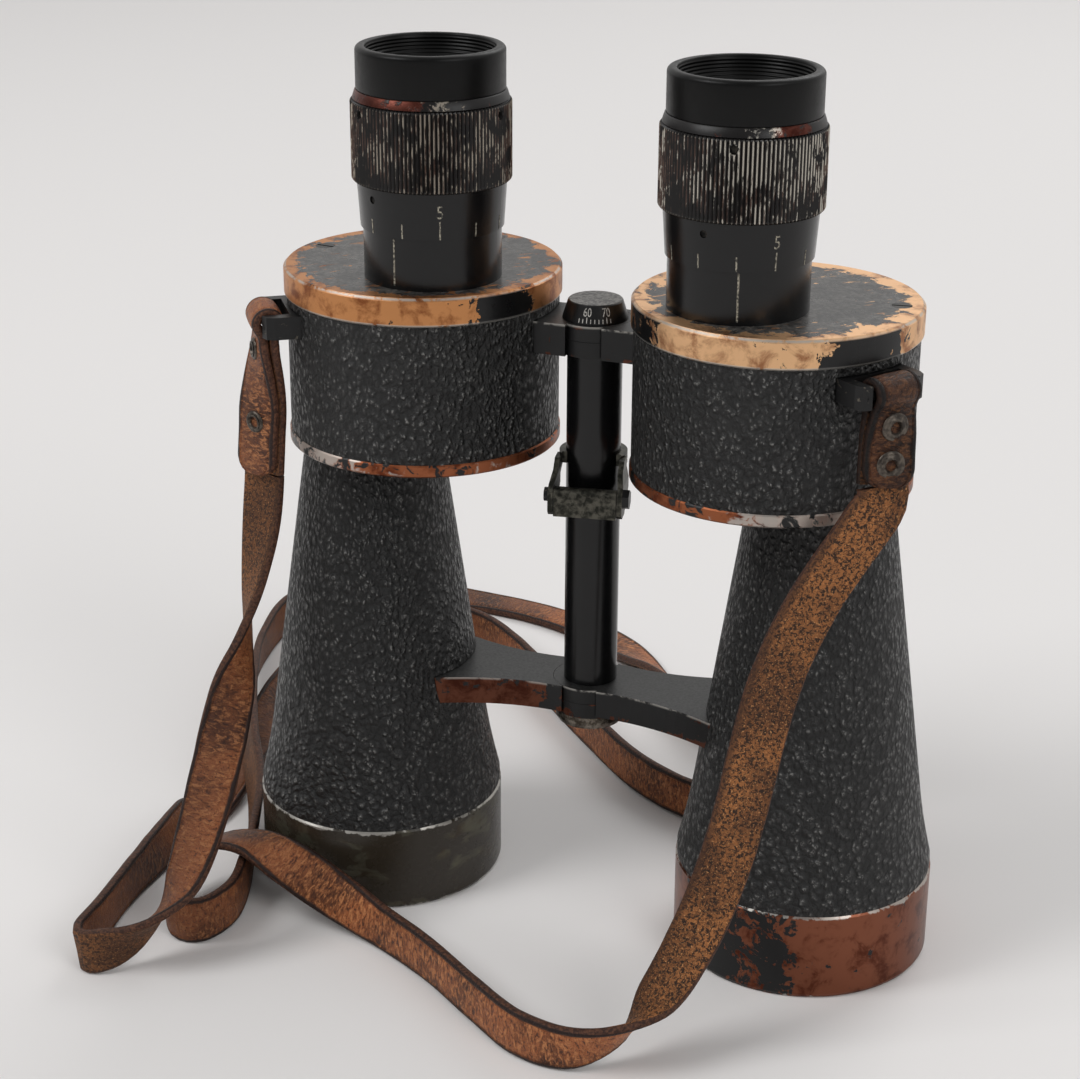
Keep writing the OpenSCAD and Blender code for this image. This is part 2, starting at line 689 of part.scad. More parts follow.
// Ring round the objective, with a shoulder inside that carries the tube and the cell
module objective_ring(side) {
    color("peru") at_objective(side) turned([
        [hood_r, 1], [hood_r + 0.6, 0.3], [hood_r + 1.4, 0], [obj_ring_r - 1, 0],
        [obj_ring_r - 0.3, 0.3], [obj_ring_r, 1], [obj_ring_r, ring_top_z - 0.5],
        [obj_ring_r - 0.4, ring_top_z], [ring_bore_r, ring_top_z],
        [ring_bore_r, hood_depth], [hood_r, hood_depth]
    ]);
}

// Cell that holds the two objective lenses between its burnished lips
module objective_cell(side) {
    color("gray") at_objective(side) turned([
        [cell_lip_r, cell_z], [cell_out_r, cell_z], [cell_out_r, cell_top_z], [cell_lip_r, cell_top_z],
        [cell_lip_r, flint_top_z + face_gap], [cell_in_r, flint_top_z + face_gap],
        [cell_in_r, crown_edge_z], [cell_lip_r, crown_lip_z]
    ]);
}

// Front lens of an objective, curved outward on both sides
module objective_crown(side) {
    color("lightblue") at_objective(side) intersection() {
        rod(lens_r, crown_z, crown_top_z);
        translate([0, 0, crown_z + lens_curve_r]) sphere(r = lens_curve_r, $fn = 180);
        translate([0, 0, crown_top_z - lens_curve_r]) sphere(r = lens_curve_r, $fn = 180);
    }
}

// Rear lens of an objective, hollow in front and flat behind
module objective_flint(side) {
    color("lightblue") at_objective(side) difference() {
        rod(lens_r, crown_top_z - lens_sag(lens_r) + face_gap, flint_top_z);
        translate([0, 0, crown_top_z + face_gap - lens_curve_r]) sphere(r = lens_curve_r, $fn = 180);
    }
}

// Drum with a floor, a bare ring round its foot and a ledge that carries the prism shelf
module prism_housing(side) {
    color("dimgray") difference() {
        union() {
            at_housing(side) turned([
                [0, house_z], [house_ring_r - 0.4, house_z], [house_ring_r, house_z + 0.4],
                [house_ring_r, wall_z - 0.3], [house_ring_r - 0.3, wall_z], [house_r, wall_z],
                [house_r, plate_under_z], [house_bore_r, plate_under_z], [house_bore_r, shelf_z],
                [house_low_bore_r, shelf_z], [house_low_bore_r, house_z + floor_t],
                [0, house_z + floor_t]
            ]);
            at_housing(side) for (a = plate_screw_bearings) {
                rotate([0, 0, a]) translate([plate_screw_r, 0, 0]) intersection() {
                    rod(boss_r, screw_foot_z - 1, plate_under_z);
                    translate([-plate_screw_r, 0, 0]) rod(house_bore_r + 0.5, shelf_top_z, plate_under_z);
                }
            }
        }
        at_objective(side) rod(taper_top_r - tube_wall, house_z - 1, house_z + floor_t + 1);
        at_housing(side) for (a = plate_screw_bearings) {
            rotate([0, 0, a]) translate([plate_screw_r, 0, 0])
                rod(plate_screw_shank_r + fit, screw_foot_z - face_gap, plate_under_z + 1);
        }
    }
}

// Pebbled leather round the housing, cut away round the upper hinge arm and the strap lug
module housing_covering(side) {
    color("black") difference() {
        at_housing(side) ring(house_r + leather_t, house_r, wall_z, rim_z);
        on_side(side) upper_arm_web(leather_gap);
        at_lug(side) lug_blank(leather_gap);
    }
}

// Top plate that closes the prism housing
module top_plate(side) {
    color("peru") difference() {
        at_housing(side) turned([
            [0, plate_under_z], [house_r + fit, plate_under_z], [house_r + fit, rim_z],
            [plate_r - 0.4, rim_z], [plate_r, rim_z + 0.4], [plate_r, plate_z - 0.7],
            [plate_r - 0.7, plate_z], [0, plate_z]
        ]);
        at_eyepiece(side) rod(spigot_r + fit, plate_under_z - 1, plate_z + 1);
        at_housing(side) for (a = plate_screw_bearings) {
            rotate([0, 0, a]) translate([plate_screw_r, 0, 0]) {
                rod(plate_screw_shank_r + fit, plate_under_z - 1, plate_z + 1);
                rod(plate_screw_head_r + fit, plate_z - screw_head_h, plate_z + 1);
            }
        }
    }
}

// Slotted screws that hold the top plate
module plate_screws(side) {
    color("silver") at_housing(side) for (a = plate_screw_bearings) {
        rotate([0, 0, a]) translate([plate_screw_r, 0, 0]) difference() {
            union() {
                rod(plate_screw_shank_r, screw_foot_z, plate_z - 0.5);
                rod(plate_screw_head_r, plate_z - screw_head_h, plate_z);
            }
            translate([-3, -0.3, plate_z - 0.5]) cube([6, 0.6, 1]);
        }
    }
}

// Places things on the light path: x and y run along the two sideways steps
module at_path(side) {
    at_objective(side) rotate([0, 0, prism_turn]) children();
}

// Shelf that carries one prism on each face, with holes for the light
module prism_shelf(side) {
    color("silver") difference() {
        at_housing(side) rod(house_bore_r - fit, shelf_z, shelf_top_z);
        at_path(side) for (p = [[0, 0], [prism_half, 0], [prism_half, prism_half]]) {
            translate([p[0], p[1], 0]) rod(light_r, shelf_z - 1, shelf_top_z + 1);
        }
    }
}

// A prism that stands on its long face, with its roof edge along Y
module prism() {
    translate([0, prism_w / 2, 0]) rotate([90, 0, 0]) linear_extrude(prism_w) polygon([
        [-prism_half, 0], [prism_half, 0], [prism_flat / 2, prism_h], [-prism_flat / 2, prism_h]
    ]);
}

// A strap that holds a prism down on the shelf, with its feet beside the prism
module prism_clip() {
    inner = prism_w / 2 + fit;
    outer = inner + clip_t;
    roof = prism_h + fit;
    translate([-clip_w / 2, 0, 0]) rotate([90, 0, 90]) linear_extrude(clip_w) polygon([
        [-outer - clip_foot, 0], [-inner, 0], [-inner, roof], [inner, roof], [inner, 0],
        [outer + clip_foot, 0], [outer + clip_foot, clip_t], [outer, clip_t],
        [outer, roof + clip_t], [-outer, roof + clip_t], [-outer, clip_t], [-outer - clip_foot, clip_t]
    ]);
}

// Places one copy on top of the shelf and one, turned upside down, under it
module both_prism_places(side) {
    at_path(side) {
        translate([prism_half / 2, 0, shelf_top_z]) children();
        translate([prism_half, prism_half / 2, shelf_z]) rotate([180, 0, 90]) children();
    }
}

// The two prisms that fold the light path
module prisms(side) {
    color("lightblue") both_prism_places(side) prism();
}

module prism_clips(side) {
    color("silver") both_prism_places(side) prism_clip();
}

// Fixed tube of the eyepiece, screwed into the top plate, with a key that guides the lens tube
module eyepiece_socket(side) {
    color("black") at_eyepiece(side) {
        turned([
            [socket_bore_r, spigot_z], [spigot_r, spigot_z], [spigot_r, plate_z], [socket_r, plate_z],
            [socket_r, socket_top_z - 0.4], [socket_r - 0.4, socket_top_z], [socket_bore_r, socket_top_z]
        ]);
        rotate([0, 0, key_turn]) translate([-key_w / 2, -socket_bore_r - 0.5, key_z])
            cube([key_w, eye_tube_wall, key_h]);
    }
}

// Lens tube that slides in the socket, with ribs for its lenses and a flange for the focus ring
module lens_tube(side) {
    rib_r = eye_tube_bore_r - lip_t;
    color("gray") at_eyepiece(side) difference() {
        turned([
            [eye_tube_bore_r, lens_tube_z], [eye_tube_r, lens_tube_z], [eye_tube_r, flange_z],
            [flange_r, flange_z], [flange_r, flange_z + flange_t], [eye_tube_r, flange_z + flange_t],
            [eye_tube_r, lens_tube_top_z], [eye_tube_bore_r, lens_tube_top_z],
            [eye_tube_bore_r, eye_lens_z - fit], [rib_r, eye_lens_z - fit],
            [rib_r, eye_lens_z - fit - lip_t], [eye_tube_bore_r, eye_lens_z - fit - lip_t],
            [eye_tube_bore_r, field_top_z + lip_t + fit], [rib_r, field_top_z + lip_t + fit],
            [rib_r, field_top_z + fit], [eye_tube_bore_r, field_top_z + fit]
        ]);
        rotate([0, 0, key_turn]) translate([-key_w / 2 - key_gap, -eye_tube_r - 1, lens_tube_z - 1])
            cube([key_w + 2 * key_gap, eye_tube_wall + 1.1, key_z + key_h + key_run + 1 - lens_tube_z]);
    }
}

// Field lens at the foot of the lens tube and eye lens at its top, each curved on one side
module eyepiece_lenses(side) {
    color("lightblue") at_eyepiece(side) {
        intersection() {
            rod(eye_lens_r, field_z, field_top_z);
            translate([0, 0, field_z + eye_curve_r]) sphere(r = eye_curve_r, $fn = 180);
        }
        intersection() {
            rod(eye_lens_r, eye_lens_z, eye_lens_z + eye_lens_t);
            translate([0, 0, eye_lens_z + eye_lens_t - eye_curve_r]) sphere(r = eye_curve_r, $fn = 180);
        }
    }
}

// Ring screwed on the lens tube above the web, which also keeps the eye lens in
module tube_retainer(side) {
    z0 = collar_z + face_gap;
    color("gray") at_eyepiece(side) turned([
        [eye_tube_r + fit, z0], [ring_cavity_r - run_fit, z0], [ring_cavity_r - run_fit, retainer_top_z],
        [retainer_lip_r, retainer_top_z], [retainer_lip_r, lens_tube_top_z + fit],
        [eye_tube_r + fit, lens_tube_top_z + fit]
    ]);
}

// Outline of a round bar with straight flutes
module knurled(r, flutes, depth) {
    polygon([for (i = [0 : 2 * flutes - 1]) let(q = r - (i % 2) * depth, a = i * 180 / flutes)
        [q * cos(a), q * sin(a)]]);
}

// Knurled ring that screws up and down on the socket, with a sloping collar under the eyecup
module focus_ring(side) {
    grub_turn = side == left ? left_grub_turn : right_grub_turn;
    color("dimgray") at_eyepiece(side) difference() {
        union() {
            translate([0, 0, knurl_z]) linear_extrude(knurl_h) knurled(knurl_r, 80, 0.45);
            turned([
                [0, collar_z - 0.5], [knurl_r - 0.6, collar_z - 0.5], [knurl_r - 0.6, collar_z],
                [collar_low_r, collar_z], [collar_top_r, cup_z], [0, cup_z]
            ]);
        }
        rod(ring_cavity_r, knurl_z - 1, web_z);
        rod(eye_tube_r + run_fit, web_z - 1, collar_z + 1);
        rod(ring_cavity_r, collar_z, cup_z + 1);
        for (a = grub_bearings) {
            radial_rod(grub_r + fit, grub_turn + a, grub_z, grub_tip_r, knurl_r + 1);
        }
    }
}

// Sleeve with the dioptre marks, pushed on below the knurling
module scale_sleeve(side) {
    screw_turn = side == left ? left_sleeve_screw_turn : right_sleeve_screw_turn;
    color("black") at_eyepiece(side) difference() {
        turned([
            [sleeve_bore_r, sleeve_z], [sleeve_low_r, sleeve_z], [sleeve_top_r, knurl_z],
            [sleeve_bore_r, knurl_z]
        ]);
        radial_rod(sleeve_screw_r + fit, screw_turn, sleeve_screw_z, socket_r - 1, knurl_r);
    }
}

// Three grub screws of the focus ring and the small screw of the sleeve
module ring_screws(side) {
    grub_turn = side == left ? left_grub_turn : right_grub_turn;
    screw_turn = side == left ? left_sleeve_screw_turn : right_sleeve_screw_turn;
    color("silver") at_eyepiece(side) {
        for (a = grub_bearings) {
            radial_rod(grub_r, grub_turn + a, grub_z, grub_tip_r, knurl_r - 0.9);
        }
        radial_rod(sleeve_screw_r, screw_turn, sleeve_screw_z, sleeve_bore_r, sleeve_low_r + 0.2);
    }
}

// Eyecup, screwed on the focus ring
module eyecup(side) {
    color("black") at_eyepiece(side) turned([
        [cup_throat_r, cup_z], [cup_r - 0.5, cup_z], [cup_r, cup_z + 0.5], [cup_r, top_z - 1.1],
        [cup_r - 0.35, top_z - 0.35], [cup_r - 1, top_z], [cup_mouth_r + 0.4, top_z],
        [cup_mouth_r, top_z - 0.4], [cup_mouth_r - 0.6, top_z - 3], [cup_mouth_r - 2.6, cup_z + 2.9],
        [cup_throat_r + 0.7, cup_z + cup_base_t], [cup_throat_r, cup_z + cup_base_t]
    ]);
}

// Plain web of an upper hinge arm, grown by g, with no end cut to the drum yet
module upper_arm_web(g) {
    translate([arm_edge, -arm_half - g, upper_arm_z - g])
        cube([house_x - arm_edge, 2 * arm_half + 2 * g, upper_arm_h + 2 * g]);
}

// Upper hinge arm: its knuckle is half as high as the arm and leaves room for the other one
module upper_arm(side) {
    own_low = side == right;
    own_z0 = own_low ? upper_arm_z : upper_split_z + face_gap;
    own_z1 = own_low ? upper_split_z : upper_arm_top_z;
    other_z0 = own_low ? upper_split_z - face_gap : upper_arm_z;
    other_z1 = own_low ? upper_arm_top_z : upper_split_z + 2 * face_gap;
    bore = own_low ? knuckle_bore_r : axle_r + fit;
    color("black") difference() {
        union() {
            rod(hub_top_r, own_z0, own_z1);
            on_side(side) difference() {
                upper_arm_web(0);
                rod(hub_top_r + face_gap, other_z0, other_z1 + (own_low ? 1 : 0));
                if (!own_low) {
                    rod(hub_top_r + face_gap, upper_arm_z - 1, upper_arm_z + 1);
                }
            }
        }
        at_housing(side) rod(house_r, upper_arm_z - 1, upper_arm_top_z + 1);
        rod(bore, upper_arm_z - 1, upper_arm_top_z + 1);
    }
}

// Outline of a lower hinge arm: hollow curves that widen from the hub to the barrel tube
module lower_arm_web(g, z0, z1) {
    far_x = obj_x - taper_top_r + 2.8;
    tip_x = obj_x - 1.4 * taper_top_r;
    front = [for (t = [0 : 0.1 : 1])
        [arm_edge + t * (tip_x - arm_edge), -arm_half - t * (arm_tip_half + obj_y - arm_half)
            + 4 * arm_sag * t * (1 - t) - g]];
    back = [for (t = [1 : -0.1 : 0])
        [arm_edge + t * (tip_x - arm_edge), arm_half + t * (arm_tip_half - obj_y - arm_half)
            - 4 * arm_sag * t * (1 - t) + g]];
    translate([0, 0, z0]) linear_extrude(z1 - z0) polygon(concat(
        front, [[far_x, -arm_tip_half - obj_y - g], [far_x, arm_tip_half - obj_y + g]], back
    ));
}

// Lower hinge arm, halved at the hub like the upper one
module lower_arm(side) {
    own_low = side == left;
    own_z0 = own_low ? lower_hub_z : lower_split_z + face_gap;
    own_z1 = own_low ? lower_split_z : lower_arm_top_z;
    other_z0 = own_low ? lower_split_z - face_gap : lower_arm_z - 1;
    other_z1 = own_low ? lower_arm_top_z + 1 : lower_split_z + 2 * face_gap;
    bore = own_low ? axle_r + fit : knuckle_bore_r;
    color("peru") difference() {
        union() {
            rod(hub_low_r, own_z0, own_z1);
            on_side(side) difference() {
                lower_arm_web(0, lower_arm_z, lower_arm_top_z);
                rod(hub_low_r + face_gap, other_z0, other_z1);
            }
        }
        at_objective(side) turned(concat([[0, skirt_z]], tube_profile(0), [[0, house_z]]));
        rod(bore, lower_hub_z - 1, lower_arm_top_z + 1);
    }
}

// Places things on a side's lug, with Y along the bar and X pointing out
module at_lug(side) {
    at_housing(side) rotate([0, 0, lug_turn - 90]) children();
}

// Solid shape of a lug, grown by g
module lug_blank(g) {
    out = lug_bar_r + lug_bar_t / 2 + lug_lip + g;
    translate([0, 0, lug_z - g]) linear_extrude(lug_h + 2 * g) polygon([
        [0, -lug_half - g], [out - lug_corner_r, -lug_half - g], [out - 0.75, -lug_half + 0.75 - g],
        [out, -lug_half + lug_corner_r - g], [out, lug_half - lug_corner_r + g],
        [out - 0.75, lug_half - 0.75 + g], [out - lug_corner_r, lug_half + g], [0, lug_half + g]
    ]);
}

// Lug that the strap end is folded round: two arms and an outer bar
module strap_lug(side) {
    color("dimgray") at_lug(side) lug_bar();
    color("dimgray") difference() {
        at_lug(side) lug_blank(0);
        at_housing(side) rod(house_r, lug_z - 1, lug_top_z + 1);
        at_lug(side) translate([lug_slot_r, -lug_slot_w / 2, lug_z - 1])
            cube([lug_slot_d + lug_bar_t + 1, lug_slot_w, lug_h + 2]);
    }
}

// Round bar between the two arms of a lug, set back a little from their ends
module lug_bar() {
    translate([lug_bar_r, lug_slot_w / 2 + 1, lug_mid_z]) rotate([90, 0, 0])
        cylinder(r = lug_bar_t / 2, h = lug_slot_w + 2, $fn = 48);
}

// Tube between the two hubs
module hinge_tube() {
    color("black") ring(hinge_tube_r, axle_r + fit, lower_arm_top_z + face_gap, upper_arm_z - face_gap);
}

// Axle through both hubs
module hinge_axle() {
    color("silver") rod(axle_r, nut_z + 0.6, cap_z + cap_h / 2);
}

// Cap with the eye distance scale, on the upper end of the axle
module scale_cap() {
    color("black") turned([
        [0, cap_z + cap_h / 2 + face_gap], [axle_r + fit, cap_z + cap_h / 2 + face_gap],
        [axle_r + fit, cap_z], [cap_low_r, cap_z], [cap_low_r, cap_z + 0.3],
        [cap_top_r, cap_z + cap_h - 0.3], [cap_top_r - 0.3, cap_z + cap_h], [0, cap_z + cap_h]
    ]);
}

// Nut on the lower end of the axle
module hinge_nut() {
    color("silver") turned([
        [axle_r + fit, nut_z], [nut_r - 1.6, nut_z], [nut_r - 0.5, nut_z + 0.5], [nut_r, nut_z + 1.6],
        [nut_r, nut_z + nut_h], [axle_r + fit, nut_z + nut_h]
    ]);
}

// Front view of a bracket ear: it leaves the band and spreads outward as it drops
module ear_front() {
    polygon([
        [ear_x, ear_top_z], [ear_x + ear_t, ear_top_z], [ear_x + ear_t, bracket_z],
        [ear_out_x, ear_bend_z], [ear_out_x, ear_foot_z], [ear_out_x - ear_t, ear_foot_z],
        [ear_out_x - ear_t, ear_bend_z - ear_t / 4], [ear_x, bracket_z - ear_t / 4]
    ]);
}

// Side view of an ear, with Y to the front as negative
module ear_side() {
    polygon([
        [-ear_root_y / 3, ear_top_z], [-ear_root_y, ear_top_z], [-band_r, bracket_z],
        [-bracket_reach, bracket_z - 0.8 * pin_drop], [-bracket_reach, ear_foot_z + 1],
        [1 - bracket_reach, ear_foot_z], [-band_r, ear_foot_z], [-ear_root_y / 3, pin_z]
    ]);
}

// Rod along X on the pin's axis, from x0 to x1
module pin_rod(r, x0, x1, sides = 32) {
    translate([x0, -pin_y, pin_z]) rotate([0, 90, 0]) cylinder(r = r, h = x1 - x0, $fn = sides);
}

// Band round the back of the hinge tube with two ears that hold the pin
module tube_bracket() {
    color("gray") rotate([0, 0, bracket_turn]) difference() {
        union() {
            difference() {
                ring(band_r, hinge_tube_r + fit, bracket_z, bracket_z + bracket_h);
                translate([-ear_x, -2 * band_r, bracket_z - 1])
                    cube([2 * ear_x, 2 * band_r - ear_root_y / 2, bracket_h + 2]);
            }
            for (m = [0, 1]) {
                mirror([m, 0, 0]) intersection() {
                    translate([0, bracket_reach, 0]) rotate([90, 0, 0])
                        linear_extrude(3 * bracket_reach) ear_front();
                    rotate([90, 0, 90]) linear_extrude(2 * ear_out_x) ear_side();
                }
            }
        }
        rod(hinge_tube_r + fit, ear_foot_z - 1, bracket_z + bracket_h + 1);
        pin_rod(bracket_pin_r + fit, -2 * ear_out_x, 2 * ear_out_x);
    }
}

// Pin through the ears, with a six sided head on its right end
module bracket_pin() {
    color("black") rotate([0, 0, bracket_turn]) {
        pin_rod(bracket_pin_r, -ear_out_x - fit, ear_out_x + fit);
        pin_rod(pin_head_r, ear_out_x + fit, ear_out_x + fit + pin_head_h, 6);
        pin_rod(0.7 * pin_head_r, -ear_out_x - fit - 0.9, -ear_out_x - fit);
    }
}

// Bent plate that tips on the pin, with two holes in its foot
module bracket_flap() {
    half = ear_out_x - ear_t - 0.15;
    eye_r = bracket_pin_r + run_fit + 0.9;
    foot_z = pin_z - flap_drop;
    color("gray") rotate([0, 0, bracket_turn]) difference() {
        union() {
            pin_rod(eye_r, -half, half);
            translate([-half, -pin_y - eye_r, foot_z]) cube([2 * half, ear_t, flap_drop]);
            translate([-half, -pin_y - eye_r, foot_z]) cube([2 * half, eye_r + flap_foot, ear_t]);
        }
        pin_rod(bracket_pin_r + run_fit, -2 * ear_out_x, 2 * ear_out_x);
        for (x = [-flap_hole_gap / 2, flap_hole_gap / 2]) {
            translate([x, (flap_foot - eye_r) / 2 - pin_y, 0])
                rod(flap_hole_r, foot_z - 1, foot_z + ear_t + 0.2);
        }
    }
}

// Folded end of the neck strap, pressed flat under the heads of its rivets
module strap_end(side) {
    color("saddlebrown") difference() {
        strap(tab_route(side));
        for (h = rivet_depths(side)) at_rivet(side, h) {
            rod(rivet_barrel_r + fit, -rivet_seat - 3, rivet_seat + 3);
            rod(rivet_r(side) + fit, rivet_seat, rivet_seat + 3);
            rod(rivet_r(side) - rivet_back_step + fit, -rivet_seat - 3, -rivet_seat);
        }
    }
}

// Places things on a rivet, with Z along it and pointing out of the strap's face
module at_rivet(side, h) {
    translate(tab_middle(side, h)) rotate([0, 0, side * tab_bearing(side, h)]) rotate([90, 0, 0]) children();
}

// Tubular rivets through both layers of a strap end
module strap_rivets(side) {
    deep = rivet_seat + fit;
    color("dimgray") for (h = rivet_depths(side)) at_rivet(side, h) difference() {
        union() {
            rod(rivet_barrel_r, -deep - 0.6, deep + 0.6);
            rod(rivet_r(side), deep, deep + 0.8);
            rod(rivet_r(side) - rivet_back_step, -deep - 0.7, -deep);
        }
        rod(rivet_hole_r, -deep - 2, deep + 2);
    }
}

// Neck strap, lying in a loose loop on the floor
module neck_strap() {
    color("sienna") strap(smooth_route(neck_route));
}

barrel_tube(left);  // left_barrel_tube
tube_covering(left);  // left_tube_covering
objective_ring(left);  // left_objective_ring
objective_cell(left);  // left_objective_cell
objective_crown(left);  // left_objective_crown
objective_flint(left);  // left_objective_flint
prism_housing(left);  // left_prism_housing
housing_covering(left);  // left_housing_covering
top_plate(left);  // left_top_plate
plate_screws(left);  // left_plate_screws
prism_shelf(left);  // left_prism_shelf
prisms(left);  // left_prisms
prism_clips(left);  // left_prism_clips
eyepiece_socket(left);  // left_eyepiece_socket
upper_arm(left);  // left_upper_arm
lower_arm(left);  // left_lower_arm
strap_lug(left);  // left_strap_lug
lens_tube(left);  // left_lens_tube
eyepiece_lenses(left);  // left_eyepiece_lenses
tube_retainer(left);  // left_tube_retainer
focus_ring(left);  // left_focus_ring
scale_sleeve(left);  // left_scale_sleeve
ring_screws(left);  // left_ring_screws
eyecup(left);  // left_eyecup
strap_end(left);  // left_strap_end
strap_rivets(left);  // left_strap_rivets
barrel_tube(right);  // right_barrel_tube
tube_covering(right);  // right_tube_covering
objective_ring(right);  // right_objective_ring
objective_cell(right);  // right_objective_cell
objective_crown(right);  // right_objective_crown
objective_flint(right);  // right_objective_flint
prism_housing(right);  // right_prism_housing
housing_covering(right);  // right_housing_covering
top_plate(right);  // right_top_plate
plate_screws(right);  // right_plate_screws
prism_shelf(right);  // right_prism_shelf
prisms(right);  // right_prisms
prism_clips(right);  // right_prism_clips
eyepiece_socket(right);  // right_eyepiece_socket
upper_arm(right);  // right_upper_arm
lower_arm(right);  // right_lower_arm
strap_lug(right);  // right_strap_lug
lens_tube(right);  // right_lens_tube
eyepiece_lenses(right);  // right_eyepiece_lenses
tube_retainer(right);  // right_tube_retainer
focus_ring(right);  // right_focus_ring
scale_sleeve(right);  // right_scale_sleeve
ring_screws(right);  // right_ring_screws
eyecup(right);  // right_eyecup
strap_end(right);  // right_strap_end
strap_rivets(right);  // right_strap_rivets
hinge_tube();
hinge_axle();
scale_cap();
hinge_nut();
tube_bracket();
bracket_pin();
bracket_flap();
neck_strap();
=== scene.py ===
# Looks of the marine binoculars: worn paint over brass, pebbled leather, moulded eyecups and an
# old leather neck strap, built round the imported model. Lengths are in metres.
import math

import bpy
from mathutils import Matrix, Vector, noise


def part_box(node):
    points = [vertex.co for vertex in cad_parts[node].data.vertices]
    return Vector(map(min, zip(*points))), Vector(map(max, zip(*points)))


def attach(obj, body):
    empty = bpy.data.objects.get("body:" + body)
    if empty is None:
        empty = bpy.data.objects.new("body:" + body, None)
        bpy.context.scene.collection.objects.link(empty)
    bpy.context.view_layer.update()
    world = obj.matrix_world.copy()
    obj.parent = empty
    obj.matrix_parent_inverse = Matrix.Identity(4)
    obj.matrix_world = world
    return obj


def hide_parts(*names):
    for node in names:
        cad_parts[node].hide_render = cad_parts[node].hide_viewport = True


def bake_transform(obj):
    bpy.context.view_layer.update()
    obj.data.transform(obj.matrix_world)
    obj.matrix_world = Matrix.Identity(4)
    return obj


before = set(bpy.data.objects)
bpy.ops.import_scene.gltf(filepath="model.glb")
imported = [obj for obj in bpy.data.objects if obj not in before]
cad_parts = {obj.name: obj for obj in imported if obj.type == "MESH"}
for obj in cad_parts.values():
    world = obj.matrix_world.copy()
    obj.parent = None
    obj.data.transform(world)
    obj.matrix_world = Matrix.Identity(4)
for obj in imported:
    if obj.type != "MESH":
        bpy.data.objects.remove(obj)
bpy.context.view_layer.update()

MM = 0.001
SIDES = {"left": -1, "right": 1}


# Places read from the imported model
def low(node):
    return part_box(node)[0]


def high(node):
    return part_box(node)[1]


def axis_of(node):
    """Middle of a round node, seen from above."""
    middle = (low(node) + high(node)) / 2
    return middle.x, middle.y


def radius_of(node):
    return (high(node).x - low(node).x) / 2


# Camera at the photograph's viewpoint
CAMERA_PLACE = (0.16238, -0.47266, 0.29460)
CAMERA_TURN = 20.362
CAMERA_TILT = 22.050
CAMERA_ROLL = 0.296
CAMERA_LENS = 76.80


def add_camera():
    data = bpy.data.cameras.new("camera")
    data.sensor_width = 36
    data.lens = CAMERA_LENS
    data.clip_start = 0.01
    camera = bpy.data.objects.new("camera", data)
    bpy.context.scene.collection.objects.link(camera)
    turn = Matrix.Rotation(math.radians(CAMERA_TURN), 4, "Z")
    tilt = Matrix.Rotation(math.radians(90 - CAMERA_TILT), 4, "X")
    roll = Matrix.Rotation(math.radians(CAMERA_ROLL), 4, "Z")
    camera.matrix_world = Matrix.Translation(CAMERA_PLACE) @ turn @ tilt @ roll
    bpy.context.scene.camera = camera


# Mesh helpers
def link_mesh(name, points, faces, materials, slots=None, coordinates=None, sharp=40):
    """A smooth shaded mesh object; slots and coordinates are given per face and per point."""
    mesh = bpy.data.meshes.new(name)
    mesh.from_pydata([tuple(p) for p in points], [], faces)
    for material in materials:
        mesh.materials.append(material)
    if slots:
        mesh.polygons.foreach_set("material_index", slots)
    if coordinates:
        layer = mesh.uv_layers.new(name="strap")
        for loop in mesh.loops:
            layer.data[loop.index].uv = coordinates[loop.vertex_index]
    mesh.polygons.foreach_set("use_smooth", [True] * len(mesh.polygons))
    mesh.set_sharp_from_angle(angle=math.radians(sharp))
    obj = bpy.data.objects.new(name, mesh)
    bpy.context.scene.collection.objects.link(obj)
    return obj


def lathe(name, profile, place, material, steps, warp=None):
    """Turns a closed list of (radius, height) points about a vertical axis through place.
    warp changes the radius of a point from its height and angle."""
    rows = len(profile)
    points = []
    for i in range(steps):
        a = 2 * math.pi * i / steps
        for r, z in profile:
            if warp:
                r = warp(r, z, a)
            points.append((place[0] + r * math.cos(a), place[1] + r * math.sin(a), z))
    faces = []
    for i in range(steps):
        for k in range(rows):
            a = i * rows + k
            b = i * rows + (k + 1) % rows
            c = (i + 1) % steps * rows + (k + 1) % rows
            d = (i + 1) % steps * rows + k
            faces.append((a, d, c, b))
    return link_mesh(name, points, faces, [material])


def arc(centre, radius, start, end, count):
    """Points of a profile along an arc, with angles in degrees from the outward direction."""
    angles = [math.radians(start + (end - start) * i / (count - 1)) for i in range(count)]
    return [(centre[0] + radius * math.cos(a), centre[1] + radius * math.sin(a)) for a in angles]


